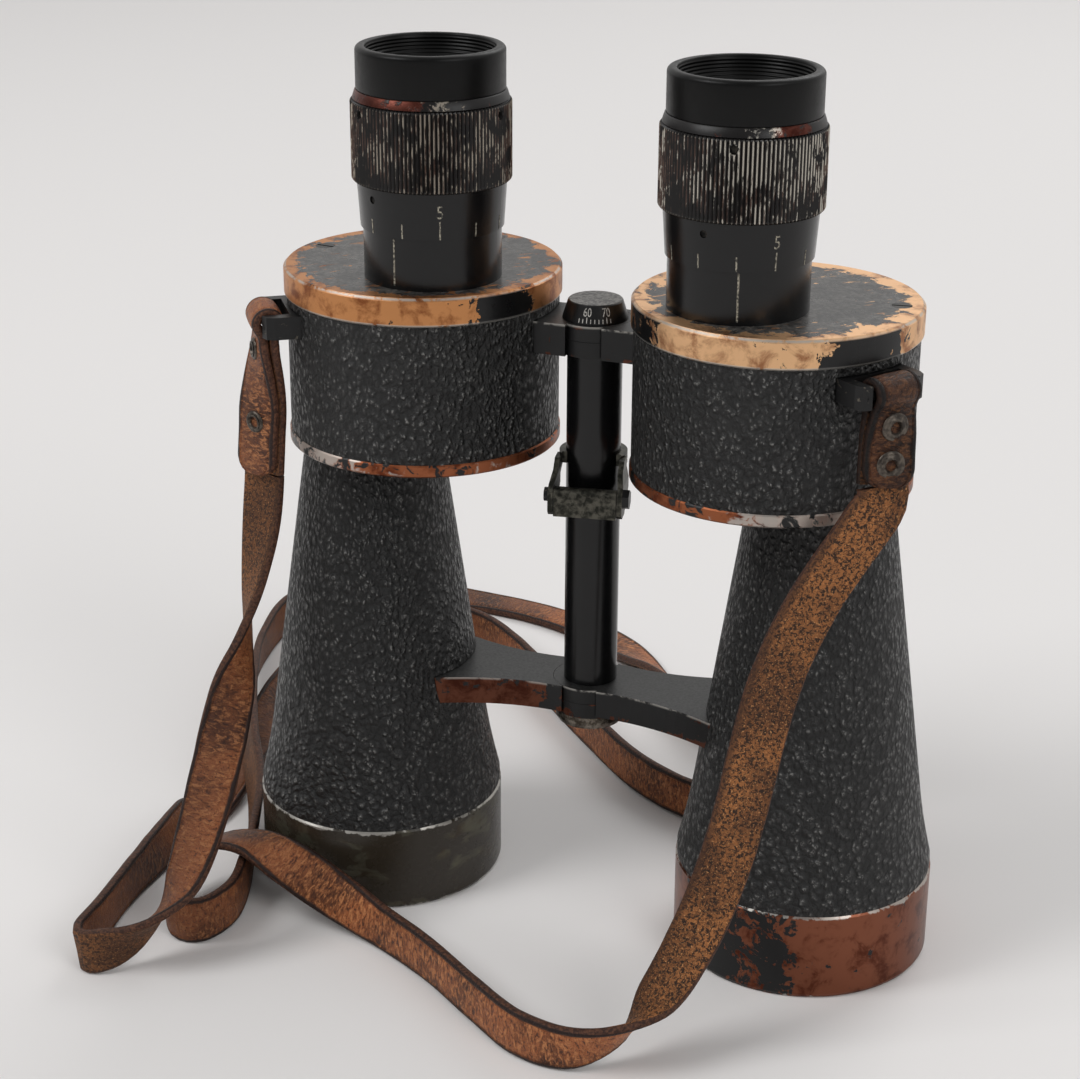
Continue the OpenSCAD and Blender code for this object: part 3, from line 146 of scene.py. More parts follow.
# Neck strap: width, thickness and the route of the solid strap, as x, y, z and the way of its width
STRAP_W = 11.5 * MM
STRAP_T = 2.2 * MM
LAYER_OFF = STRAP_T / 2 + 0.15 * MM
FLOOR_GAP = 0.1 * MM
ROUTE = [
    (-72.3, -27.5, 95, 0.92, -0.4, 0), (-72.5, -32, 83, 0.7, -0.7, 0),
    (-73, -37, 71, 0.2, -0.98, 0), (-73.5, -44, 58, -0.6, -0.8, 0),
    (-74, -51, 45, -0.9, -0.43, 0), (-74.7, -58, 33, -0.94, -0.1, 0),
    (-76, -64.5, 22.5, -0.9, 0.3, 0), (-79.5, -69.5, 14.5, -0.6, 0.6, -0.5),
    (-85, -74.5, 9, -0.3, 0.4, -0.85), (-90.5, -78.3, 6.6, 0, 0.15, -1),
    (-94.8, -80, 6, 0.1, 0.1, -1), (-97.6, -77.2, 6, 0.1, 0, -1),
    (-99, -66, 6, 0, 0, -1), (-101.5, -46, 6, 0, 0, -1),
    (-103, -22, 5, 0.4, 0, -0.9), (-105, 6, 1.7, 1, 0, 0),
    (-110, 36, 1.7, 0.97, 0.2, 0), (-115, 66, 4, 0.6, 0.2, -0.75),
    (-113, 98, 6, 0, 0, -1), (-99, 121, 6, 0, 0, -1),
    (-80, 122, 6, 0, 0, -1), (-60, 108, 6, 0, 0, -1),
    (-28, 74, 6, 0, 0, -1), (-2, 49, 6, 0, 0, -1),
    (22, 38, 6, 0, 0, -1), (44, 41, 6, 0, 0, -1),
    (55, 55, 6, 0, 0, -1), (47, 72, 6, 0, 0, -1),
    (26, 73, 6, 0, 0, -1), (6, 81, 6, 0, 0, -1),
    (-14, 108, 4.5, 0.4, 0.5, -0.75), (-36, 132, 1.8, 0.6, 0.8, 0),
    (-62, 146, 1.5, 0.3, 0.95, 0), (-92, 149, 1.8, -0.1, 1, 0.1),
    (-121, 139, 4.2, -0.3, 0.6, 0.7), (-136, 115, 6, -0.1, 0.1, 1),
    (-133, 86, 6.5, 0.1, 0, 1), (-121, 55, 8.6, 0.2, 0.1, 1),
    (-106, 25, 8.8, 0.25, 0.1, 1), (-92, 1, 7, 0.25, 0.1, 1),
    (-83, -19, 6, 0.15, 0, 1), (-77, -35, 6, 0, 0, 1),
    (-73.8, -48, 6, 0, 0, 1), (-76.5, -58, 6, 0, 0, 1),
    (-83.5, -58.5, 6, 0, 0, 1), (-88.5, -50, 7.5, 0.2, 0, 1),
    (-88, -41, 11, 0.6, -0.3, 0.7), (-83, -35, 13.6, 0.35, -0.85, 0.3),
    (-74, -34.5, 14.6, 0, -1, 0), (-64, -37.3, 13, -0.15, -0.85, -0.5),
    (-52, -39.5, 8.8, -0.2, -0.5, -0.85), (-37, -45, 6.2, 0, -0.1, -1),
    (-20, -54.5, 6, 0, 0, -1), (-4, -66, 6, 0, 0, -1),
    (10, -75, 6, 0, 0, -1), (23, -77, 6.5, -0.1, 0.2, -1),
    (33, -72, 9.5, -0.3, 0.6, -0.75), (39.5, -64.5, 17, -0.8, 0.5, 0.1),
    (44.5, -59, 28, -0.93, 0.1, 0.1), (48, -55, 39, -0.93, -0.2, 0),
    (51, -50.5, 53, -0.93, -0.3, 0), (55, -41, 81, -0.93, -0.3, 0),
    (61, -34.5, 99, -0.92, -0.4, 0), (69, -29, 114, -0.88, -0.45, 0),
]

# Strap ends: how each one hangs from its lug, as in the solid model
LUG_TURN = 55
LUG_BAR_R = 36.9 * MM
LUG_BAR_T = 2.6 * MM
LUG_H = 5.2 * MM
PINCH_H = 3.5 * MM
STRAP_GAP = 0.3 * MM
WRAP = LUG_BAR_T / 2 + STRAP_GAP + STRAP_T / 2
TAB_LEAN = Vector((0.8, -3.8)) * MM
TAB_L = {"left": 36 * MM, "right": 19.5 * MM}
TAB_TWIST = {"left": 37, "right": 20}
RIVET_DEPTHS = {"left": (6.8 * MM, 23.5 * MM), "right": (6.8 * MM, 14.5 * MM)}
RIVET_R = {"left": 2.6 * MM, "right": 3.2 * MM}
RIVET_HOLE_R = 1.15 * MM


def ease(h, a, b):
    t = max(0, min(1, (h - a) / (b - a)))
    return t * t * (3 - 2 * t)


def tab_bearing(side, h):
    return math.radians(LUG_TURN - TAB_TWIST[side] * ease(h, LUG_H / 2, 0.6 * TAB_L[side]))


def tab_out(side, h):
    b = tab_bearing(side, h)
    return Vector((SIDES[side] * math.sin(b), -math.cos(b), 0))


def tab_width(side, h):
    b = tab_bearing(side, h)
    return Vector((SIDES[side] * math.cos(b), math.sin(b), 0))


def tab_middle(side, h):
    """Middle of a strap end between its two layers, at depth h below the lug's bar."""
    lean = TAB_LEAN * max(0, h - LUG_BAR_T) / (TAB_L[side] - LUG_BAR_T)
    turn = math.radians(LUG_TURN)
    house_x = abs(axis_of(side + "_top_plate")[0])
    bar_z = (low(side + "_strap_lug").z + high(side + "_strap_lug").z) / 2
    return Vector((
        SIDES[side] * (house_x + LUG_BAR_R * math.sin(turn) + lean[0]),
        lean[1] - LUG_BAR_R * math.cos(turn),
        bar_z - h,
    ))


def layer_away(h):
    return LAYER_OFF + (WRAP - LAYER_OFF) * (1 - ease(h, 0, PINCH_H))


def tab_point(side, h, off, scale=1.0, rise=0.0):
    """Route point of one layer: its place, the way of its width and the width's scale."""
    place = tab_middle(side, h) + off * tab_out(side, h) + Vector((0, 0, rise))
    return place, SIDES[side] * tab_width(side, h), scale


def tab_route(side):
    """Up the front layer from its rounded tip, round the bar and down behind."""
    length = TAB_L[side]
    tip = [(0, 0.35), (0.25, 0.55), (0.8, 0.74), (1.8, 0.89), (3.2, 0.98)]
    route = [tab_point(side, length - q * MM, layer_away(length), k) for q, k in tip]
    steps = int((length - 4 * MM) / (1.2 * MM))
    depths = [length - 4 * MM - i * (length - 4.6 * MM) / steps for i in range(steps + 1)]
    route += [tab_point(side, h, layer_away(h)) for h in depths]
    for i in range(19):
        a = math.radians(10 * i)
        route.append(tab_point(side, 0, WRAP * math.cos(a), 1, WRAP * math.sin(a)))
    route += [tab_point(side, h, -layer_away(h)) for h in reversed(depths)]
    route.append(tab_point(side, length, -layer_away(length)))
    return route


def curve_point(a, b, c, d, t):
    """Point at part t between b and c on a smooth curve through a, b, c and d."""
    return 0.5 * (
        2 * b + (c - a) * t + (2 * a - 5 * b + 4 * c - d) * t * t
        + (3 * b - a - 3 * c + d) * t * t * t
    )


def smooth_route(route, spacing):
    """A smooth curve through a route, with points about spacing apart."""
    made = []
    for i in range(len(route) - 1):
        span = [route[max(i - 1, 0)], route[i], route[i + 1], route[min(i + 2, len(route) - 1)]]
        steps = max(1, round((span[2][0] - span[1][0]).length / spacing))
        for k in range(steps):
            t = k / steps
            place = curve_point(*[q[0] for q in span], t)
            width = curve_point(*[q[1] for q in span], t)
            made.append((place, width, 1.0))
    made.append(route[-1])
    return made


def strap_section():
    """Corners of the strap's section as shares of its width and thickness, and each face's slot.
    The grain side has a pressed line along each edge; the flesh side is plain."""
    grain = [(-0.5, 0.3), (-0.485, 0.75), (-0.45, 0.97), (-0.41, 1.0), (-0.385, 0.84), (-0.36, 1.0)]
    grain += [(-0.2, 1.06), (0, 1.08), (0.2, 1.06)]
    grain += [(-s, t) for s, t in reversed(grain[:6])]
    flesh = [(0.5, 0.3), (0.48, 0.8), (0.43, 1.0), (0.25, 0.98), (0, 0.94)]
    flesh += [(-s, t) for s, t in reversed(flesh[:4])]
    corners = [(s * STRAP_W, -t * STRAP_T / 2) for s, t in grain]
    corners += [(s * STRAP_W, t * STRAP_T / 2) for s, t in flesh]
    edge, inner, outer = 2, 0, 1
    slots = [edge] + [inner] * (len(grain) - 3) + [edge] * 2
    slots += [edge] + [outer] * (len(flesh) - 3) + [edge] * 2
    return corners, slots


# Lengths over which the strap's cupping and its frayed width change
WAVE_L = 11 * MM
FRAY_L = 6 * MM


def strap_mesh(name, route, materials, seed):
    """A worn flat strap swept along a route of places, width ways and width scales."""
    corners, face_slots = strap_section()
    n = len(corners)
    points, coordinates, run = [], [], 0.0
    for i, (place, width, scale) in enumerate(route):
        before = route[max(i - 1, 0)][0]
        after = route[min(i + 1, len(route) - 1)][0]
        ahead = (after - before).normalized()
        across = (width - width.dot(ahead) * ahead).normalized()
        up = ahead.cross(across)
        if i:
            run += (place - before).length
        wave = noise.noise(Vector((run / WAVE_L, seed, 0)))
        fray = 1 + 0.02 * noise.noise(Vector((run / FRAY_L, seed, 5)))
        ring = []
        for s, t in corners:
            cup = 0.12 * MM * wave * (1 - (2 * s / STRAP_W) ** 2)
            ring.append(place + across * s * scale * fray + up * (t + cup))
            coordinates.append((run, s * scale))
        lift = max(0, FLOOR_GAP - min(p.z for p in ring))
        points += [p + Vector((0, 0, lift)) for p in ring]
    faces, slots = [], []
    for i in range(len(route) - 1):
        for k in range(n):
            a, b = i * n + k, i * n + (k + 1) % n
            faces.append((a, b, b + n, a + n))
            slots.append(face_slots[k])
    faces.append(tuple(reversed(range(n))))
    faces.append(tuple(range(len(points) - n, len(points))))
    slots += [2, 2]
    return link_mesh(name, points, faces, materials, slots, coordinates, sharp=60)


def neck_route():
    """Route of the loose strap, from behind the left strap end to behind the right one."""
    route = [tab_point("left", TAB_L["left"] + 0.05 * MM, -LAYER_OFF)]
    route.append(tab_point("left", TAB_L["left"] + 4 * MM, -LAYER_OFF))
    route += [(Vector(q[:3]) * MM, Vector(q[3:]), 1.0) for q in ROUTE]
    for h in (TAB_L["right"] + 4 * MM, TAB_L["right"] + STRAP_GAP):
        place, width, scale = tab_point("right", h, -LAYER_OFF)
        route.append((place, -width, scale))
    return smooth_route(route, 1.8 * MM)


def rivets(side, material):
    """Tubular rivets with rolled heads through both layers of a strap end."""
    head = RIVET_R[side]
    seat = LAYER_OFF + STRAP_T / 2
    hole = RIVET_HOLE_R
    profile = [(hole, -seat - 0.3 * MM), (hole, seat + 0.2 * MM)]
    profile += [(hole + 0.12 * MM, seat + 0.55 * MM), (hole + 0.4 * MM, seat + 0.85 * MM)]
    profile += [(hole + 0.75 * MM, seat + 0.82 * MM), (head - 0.9 * MM, seat + 0.55 * MM)]
    profile += [(head - 0.5 * MM, seat + 0.62 * MM), (head - 0.15 * MM, seat + 0.45 * MM)]
    profile += [(head, seat + 0.15 * MM), (head - 0.1 * MM, seat + 0.02 * MM)]
    profile += [(1.7 * MM, seat + 0.02 * MM), (1.7 * MM, -seat - 0.02 * MM)]
    profile += [(head - 0.3 * MM, -seat - 0.02 * MM), (head - 0.2 * MM, -seat - 0.2 * MM)]
    profile += [(head - 0.6 * MM, -seat - 0.55 * MM), (hole + 0.4 * MM, -seat - 0.75 * MM)]
    made = []
    for i, h in enumerate(RIVET_DEPTHS[side]):
        rivet = lathe(f"{side}_rivet_{i + 1}", list(reversed(profile)), (0, 0), material, 48)
        out = tab_out(side, h)
        turn = Matrix((tab_width(side, h), out.cross(tab_width(side, h)), out)).transposed()
        rivet.data.transform(Matrix.Translation(tab_middle(side, h)) @ turn.to_4x4())
        made.append(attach(rivet, side + "_barrel"))
    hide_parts(side + "_strap_rivets")
    return made


# Materials
class Tree:
    """Short calls for the nodes of a material or of the world."""

    def __init__(self, tree):
        self.tree = tree

    def add(self, kind, inputs=(), **options):
        node = self.tree.nodes.new("ShaderNode" + kind)
        for key, value in options.items():
            setattr(node, key, value)
        for key, value in dict(inputs).items():
            self.wire(value, node.inputs[key])
        return node

    def wire(self, value, socket):
        if isinstance(value, bpy.types.NodeSocket):
            self.tree.links.new(value, socket)
        elif isinstance(value, tuple) and len(value) == 3 and socket.type == "RGBA":
            socket.default_value = (*value, 1)
        else:
            socket.default_value = value

    def math(self, operation, *values):
        return self.add("Math", enumerate(values), operation=operation).outputs[0]

    def chain(self, operation, values):
        result = values[0]
        for value in values[1:]:
            result = self.math(operation, result, value)
        return result

    def times(self, *values):
        return self.chain("MULTIPLY", values)

    def plus(self, *values):
        return self.chain("ADD", values)

    def most(self, *values):
        return self.chain("MAXIMUM", values)

    def minus(self, a, b):
        return self.math("SUBTRACT", a, b)

    def opposite(self, value):
        return self.minus(1.0, value)

    def toward(self, turn, bearing):
        """1 where an angle has this bearing in degrees, falling to -1 on the far side."""
        return self.math("COSINE", self.minus(turn, math.radians(bearing)))

    def vector(self, x, y=0.0, z=0.0):
        return self.add("CombineXYZ", {0: x, 1: y, 2: z}).outputs[0]

    def arrows(self, operation, a, b):
        """Arithmetic of two vectors."""
        return self.add("VectorMath", {0: a, 1: b}, operation=operation).outputs[0]

    def rise(self, value, start, end):
        """0 below start and 1 above end, or the other way round where start is the larger."""
        inputs = {0: value, 1: start, 2: end}
        node = self.add("MapRange", inputs, interpolation_type="SMOOTHSTEP", clamp=True)
        return node.outputs[0]

    def near(self, value, level, width):
        """1 at a level, falling to 0 at width from it."""
        return self.rise(self.math("ABSOLUTE", self.minus(value, level)), width, 0.0)

    def mix(self, share, a, b):
        """A blend of two colours or of two numbers."""
        colour = isinstance(a, tuple) or getattr(a, "type", "") == "RGBA"
        node = self.add("Mix", data_type="RGBA" if colour else "FLOAT")
        sockets = [s for s in node.inputs if s.enabled]
        for socket, value in zip(sockets, (share, a, b)):
            self.wire(value, socket)
        return [s for s in node.outputs if s.enabled][0]


class Look(Tree):
    """One node material."""

    def __init__(self, name, **settings):
        self.material = bpy.data.materials.new(name)
        self.material.use_nodes = True
        super().__init__(self.material.node_tree)
        self.shader = self.tree.nodes["Principled BSDF"]
        self.place = None
        for key, value in settings.items():
            self.set(key, value)

    def set(self, key, value):
        self.wire(value, self.shader.inputs[key.replace("_", " ")])

    def xyz(self):
        """The place on the object, as three numbers and as one vector."""
        if not self.place:
            whole = self.add("TexCoord").outputs["Object"]
            parts = self.add("SeparateXYZ", {0: whole}).outputs
            self.place = (parts[0], parts[1], parts[2], whole)
        return self.place

    def round_place(self, axis):
        """Distance from a vertical axis, and the angle round it in radians from the +X way."""
        x, y, _, _ = self.xyz()
        dx = self.minus(x, axis[0])
        dy = self.minus(y, axis[1])
        r = self.math("SQRT", self.plus(self.times(dx, dx), self.times(dy, dy)))
        return r, self.math("ARCTAN2", dy, dx)

    def noise(self, size, detail=3.0, roughness=0.55, warp=0.0, vector=None):
        if vector is None:
            vector = self.xyz()[3]
        inputs = {"Vector": vector, "Scale": 1 / size, "Detail": detail}
        inputs.update({"Roughness": roughness, "Distortion": warp})
        return self.add("TexNoise", inputs).outputs[0]

    def cells(self, size, vector):
        return self.add("TexVoronoi", {"Vector": vector, "Scale": 1 / size}).outputs["Distance"]

    def bump(self, height, depth):
        return self.add("Bump", {"Height": height, "Distance": depth}).outputs[0]


# Paint, the metals under it and the dust on it
BLACK = (0.0042, 0.0042, 0.0045)
COPPER = (0.56, 0.255, 0.10)
RED_COPPER = (0.21, 0.075, 0.042)
SILVER = (0.52, 0.50, 0.46)
DUST = (0.13, 0.12, 0.10)


def worn_paint(look, bare, bright, paint=BLACK, metal=COPPER, gloss=0.26, dull=0.36, edge=SILVER):
    """Black paint, bare metal where bare is 1 and polished edges where bright is 1."""
    stain = look.noise(6 * MM, 5, 0.66, 0.4)
    dark_metal = (0.42 * metal[0], 0.30 * metal[1], 0.26 * metal[2])
    tarnish = look.mix(look.rise(stain, 0.34, 0.56), dark_metal, metal)
    scratch = look.noise(0.6 * MM, 4, 0.7)
    dusty = look.times(look.rise(scratch, 0.66, 0.8), look.rise(stain, 0.4, 0.7))
    colour = look.mix(bare, look.mix(dusty, paint, DUST), tarnish)
    look.set("Base_Color", look.mix(bright, colour, edge))
    either = look.most(bare, bright)
    look.set("Metallic", look.times(either, 0.9))
    rough = look.mix(either, gloss, dull)
    look.set("Roughness", look.plus(rough, look.times(look.noise(3 * MM, 4), 0.14)))
    look.set("Specular_IOR_Level", 0.34)
    chips = look.opposite(either)
    height = look.plus(chips, look.times(scratch, 0.3))
    look.set("Normal", look.bump(height, 0.05 * MM))
    return look.material


# Bearings, in degrees from the +X way, where a rim keeps its paint, and how narrowly
KEPT_PAINT = {
    "left": ((-32, 0.95), (118, 0.90), (25, 0.97)),
    "right": ((-143, 0.93), (-38, 0.90), (75, 0.95)),
}
# Metal colour of each rim. The right one is made lighter than the left's copper as a painted highlight
# on that rim.
RIM_METALS_AND_SHEEN = {"left": COPPER, "right": (0.78, 0.48, 0.26)}


def plate_look(side):
    """Top plate: copper rim with black remains, thin bright edges, black face worn at its border."""
    look = Look(side + "_plate_paint")
    node = side + "_top_plate"
    axis, rim, top = axis_of(node), radius_of(node), high(node).z
    r, turn = look.round_place(axis)
    z = look.xyz()[2]
    blotch = look.noise(6 * MM, 5, 0.62, 0.9)
    small = look.noise(1.1 * MM, 4, 0.65)
    mixed = look.plus(blotch, look.times(look.minus(small, 0.5), 0.4))
    # The rim keeps its paint in patches, where hands rub least
    kept = [look.rise(look.toward(turn, way), start, 1.0) for way, start in KEPT_PAINT[side]]
    side_wall = look.rise(look.minus(top, z), 0.25 * MM, 0.7 * MM)
    painted = look.rise(look.plus(mixed, look.times(look.most(*kept), 0.34)), 0.665, 0.69)
    # On the face the wear creeps in from the border, further on the right plate
    reach = {"left": 6.5 * MM, "right": 9 * MM}[side]
    border = look.rise(r, rim - reach, rim - 0.4 * MM)
    face_wear = look.rise(look.plus(mixed, look.times(border, 0.36)), 0.70, 0.73)
    chips = look.rise(look.plus(mixed, look.times(look.rise(r, rim - 22 * MM, rim), 0.05)), 0.70, 0.72)
    bare = look.mix(side_wall, look.most(face_wear, chips), look.opposite(painted))
    corner = look.rise(r, rim - 0.85 * MM, rim - 0.5 * MM)
    edge = look.times(corner, look.near(z, top - 0.3 * MM, 0.42 * MM), look.rise(mixed, 0.40, 0.52))
    foot = look.rise(look.minus(z, low(node).z), 0.75 * MM, 0.35 * MM)
    foot = look.times(foot, look.rise(mixed, 0.34, 0.44))
    bright = look.times(look.most(edge, foot), look.opposite(look.times(painted, 0.7)))
    face = look.opposite(side_wall)
    clouds = look.rise(look.noise(6 * MM, 5, 0.7, 0.8), 0.36, 0.62)
    scuffs = look.rise(look.noise(0.9 * MM, 5, 0.75, 0.5), 0.34, 0.66)
    scuffs = look.times(scuffs, look.mix(clouds, 0.3, 1.0))
    paint = look.mix(look.times(face, scuffs), BLACK, (0.13, 0.122, 0.112))
    x, y, _, _ = look.xyz()
    slant = look.vector(look.times(look.plus(x, y), 0.22), look.minus(x, y))
    scratches = look.rise(look.noise(2.2 * MM, 4, 0.62, 0.5, slant), 0.615, 0.64)
    outer = look.rise(look.plus(look.noise(16 * MM, 2), look.rise(r, rim - 20 * MM, rim)), 0.55, 1.1)
    bare = look.most(bare, look.times(face, scratches, outer))
    # The right rim's metal colour carries a painted highlight.
    return worn_paint(look, bare, look.times(bright, 0.85), paint, RIM_METALS_AND_SHEEN[side], 0.22)


def housing_look(side):
    """Prism housing: its bare foot ring is copper with silver wear and black remains."""
    look = Look(side + "_housing_paint")
    node = side + "_prism_housing"
    r, turn = look.round_place(axis_of(node))
    mixed = look.noise(4.5 * MM, 5, 0.62, 0.8)
    ring = look.rise(r, radius_of(node) - 1.3 * MM, radius_of(node) - 1.1 * MM)
    bare = look.times(ring, look.rise(mixed, 0.44, 0.47))
    grey = look.rise(look.toward(turn, {"left": -125, "right": -60}[side]), 0.75, 1.0)
    bright = look.times(ring, look.rise(look.plus(mixed, look.times(grey, 0.2)), 0.60, 0.70), 0.75)
    return worn_paint(look, bare, bright, metal=(0.30, 0.10, 0.045))


def objective_look(side):
    """Left ring: brownish black, rubbed to grey. Right ring: red copper with black remains.
    Both have worn silver edges."""
    look = Look(side + "_objective_paint")
    node = side + "_objective_ring"
    _, turn = look.round_place(axis_of(node))
    z = look.xyz()[2]
    blotch = look.noise(7 * MM, 5, 0.62, 0.9)
    small = look.noise(1.3 * MM, 5, 0.68)
    mixed = look.plus(blotch, look.times(look.minus(small, 0.5), 0.45))
    top = high(node).z
    upper = look.rise(look.minus(top, z), 1.8 * MM, 0.1 * MM)
    lower = look.rise(z, 1.6 * MM, 0.1 * MM)
    if side == "left":
        flat = look.arrows("MULTIPLY", look.xyz()[3], (1.0, 1.0, 2.0))
        smear = look.noise(14 * MM, 4, 0.65, 0.6, flat)
        bare = look.times(look.rise(smear, 0.50, 0.66), 0.75)
        edge = look.most(upper, look.times(lower, 0.8))
        bright = look.rise(look.plus(mixed, look.times(edge, 0.36)), 0.76, 0.84)
        brown_black, worn_grey = (0.028, 0.022, 0.015), (0.13, 0.125, 0.09)
        return worn_paint(look, bare, look.times(bright, 0.75), brown_black, worn_grey, 0.2, 0.26)
    ways = [look.toward(turn, way) for way in (-118, -94)]
    kept = look.most(look.rise(ways[0], 0.90, 0.99), look.times(look.rise(ways[1], 0.93, 1.0), 0.8))
    painted = look.rise(look.plus(mixed, look.times(kept, 0.30)), 0.66, 0.68)
    edge = look.most(upper, look.times(lower, 0.9))
    bright = look.rise(look.plus(mixed, look.times(edge, 0.34)), 0.78, 0.84)
    bare, bright = look.opposite(painted), look.times(bright, 0.7)
    return worn_paint(look, bare, bright, metal=RED_COPPER, dull=0.26)


def arm_look(name, node, copper_front):
    """Hinge arm: scuffed grey top, bright rubbed edges and, in places, a copper front face."""
    look = Look(name)
    x, _, z, _ = look.xyz()
    mixed = look.noise(3.2 * MM, 5, 0.62, 0.5)
    fine = look.noise(0.7 * MM, 4, 0.7)
    top = high(node).z
    side_way = look.add("NewGeometry").outputs["Normal"]
    facing = look.add("SeparateXYZ", {0: side_way}).outputs[2]
    flat = look.rise(facing, 0.6, 0.9)
    front = look.opposite(look.rise(look.math("ABSOLUTE", facing), 0.3, 0.6))
    edge = look.times(front, look.rise(look.minus(top, z), 0.7 * MM, 0.1 * MM))
    bright = look.times(edge, look.rise(mixed, 0.42, 0.55))
    if copper_front:
        reach = look.rise(look.math("ABSOLUTE", x), 9 * MM, 14 * MM)
        bare = look.times(front, look.rise(look.plus(mixed, look.times(reach, 0.16)), 0.54, 0.57))
    else:
        low_edge = look.rise(look.minus(z, low(node).z), 1.6 * MM, 0.3 * MM)
        reach = look.rise(look.math("ABSOLUTE", x), 16 * MM, 36 * MM)
        worn = look.plus(mixed, look.times(look.plus(low_edge, reach), 0.14))
        bare = look.times(front, look.rise(worn, 0.70, 0.74), 0.8)
    scuffed = look.mix(look.times(flat, look.rise(fine, 0.30, 0.7)), BLACK, (0.035, 0.035, 0.034))
    return worn_paint(look, bare, look.times(bright, 0.6), scuffed, (0.125, 0.046, 0.027), 0.3)


def plain_paint(name, wear, gloss):
    """Black paint with small chips and fine dust."""
    look = Look(name)
    mixed = look.noise(1.8 * MM, 5, 0.65, 0.4)
    bare = look.rise(mixed, wear, wear + 0.03)
    return worn_paint(look, bare, 0.0, metal=DUST, gloss=gloss)


# Grain of the leather, and the radius at which it has its true size on each covering
GRAIN_SIZE = 1.1 * MM
LEATHER_RADII = {"tube": 22 * MM, "housing": 31 * MM}


def leather_look(side, part, round_node):
    """Black pebbled leather: small shiny domes, a little taller than wide, over soft wrinkles, with
    painted highlights as pale specks on the dome tops.
    """
    look = Look(f"{side}_{part}_leather", Specular_IOR_Level=0.55)
    _, turn = look.round_place(axis_of(round_node))
    z = look.xyz()[2]
    wrapped = look.vector(look.times(turn, LEATHER_RADII[part]), look.times(z, 0.75))
    stir = look.add("TexNoise", {"Vector": wrapped, "Scale": 1 / (1.8 * MM), "Detail": 3.0})
    shift = look.arrows("SUBTRACT", stir.outputs["Color"], (0.5, 0.5, 0.5))
    shift = look.arrows("MULTIPLY", shift, (1.6 * MM, 1.6 * MM, 0.0))
    dome = look.opposite(look.cells(GRAIN_SIZE, look.arrows("ADD", wrapped, shift)))
    grain = look.rise(dome, 0.30, 0.75)
    lumps = look.noise(0.45 * MM, 3, 0.65, 0.2, wrapped)
    wrinkles = look.noise(2.6 * MM, 4, 0.68, 0.8, wrapped)
    height = look.plus(look.times(dome, 1.1), look.times(lumps, 0.25), look.times(wrinkles, 1.3))
    look.set("Normal", look.bump(height, 0.8 * MM))
    dusty = look.times(look.rise(look.noise(11 * MM, 4, 0.6), 0.5, 0.75), look.opposite(grain), 0.3)
    tops = look.mix(grain, (0.001, 0.001, 0.001), (0.005, 0.005, 0.005))
    tops = look.mix(dusty, tops, (0.022, 0.022, 0.021))
    # Painted highlights: pale grey specks on the tops of the domes, put into the base colour in place
    # of glints of light.
    painted_glints = look.times(look.rise(dome, 0.58, 0.82), look.rise(lumps, 0.44, 0.60))
    painted_glints = look.times(painted_glints, look.rise(wrinkles, 0.36, 0.54))
    look.set("Base_Color", look.mix(painted_glints, tops, (0.17, 0.168, 0.16)))
    look.set("Roughness", look.mix(grain, 0.6, look.plus(look.times(lumps, 0.2), 0.2)))
    return look.material


def cup_look():
    """Moulded eyecup: satin black with faint scuffs."""
    look = Look("eyecup_plastic", Base_Color=(0.0022, 0.0022, 0.0022), Specular_IOR_Level=0.2)
    scuff = look.noise(2.2 * MM, 6, 0.7, 0.3)
    look.set("Roughness", look.plus(look.times(scuff, 0.3), 0.24))
    look.set("Normal", look.bump(look.noise(0.5 * MM, 3), 0.015 * MM))
    return look.material


# Colour of the rubbed ridges of each focus ring
KNURL_EDGES = {"left": (0.46, 0.41, 0.34), "right": (0.66, 0.62, 0.54)}


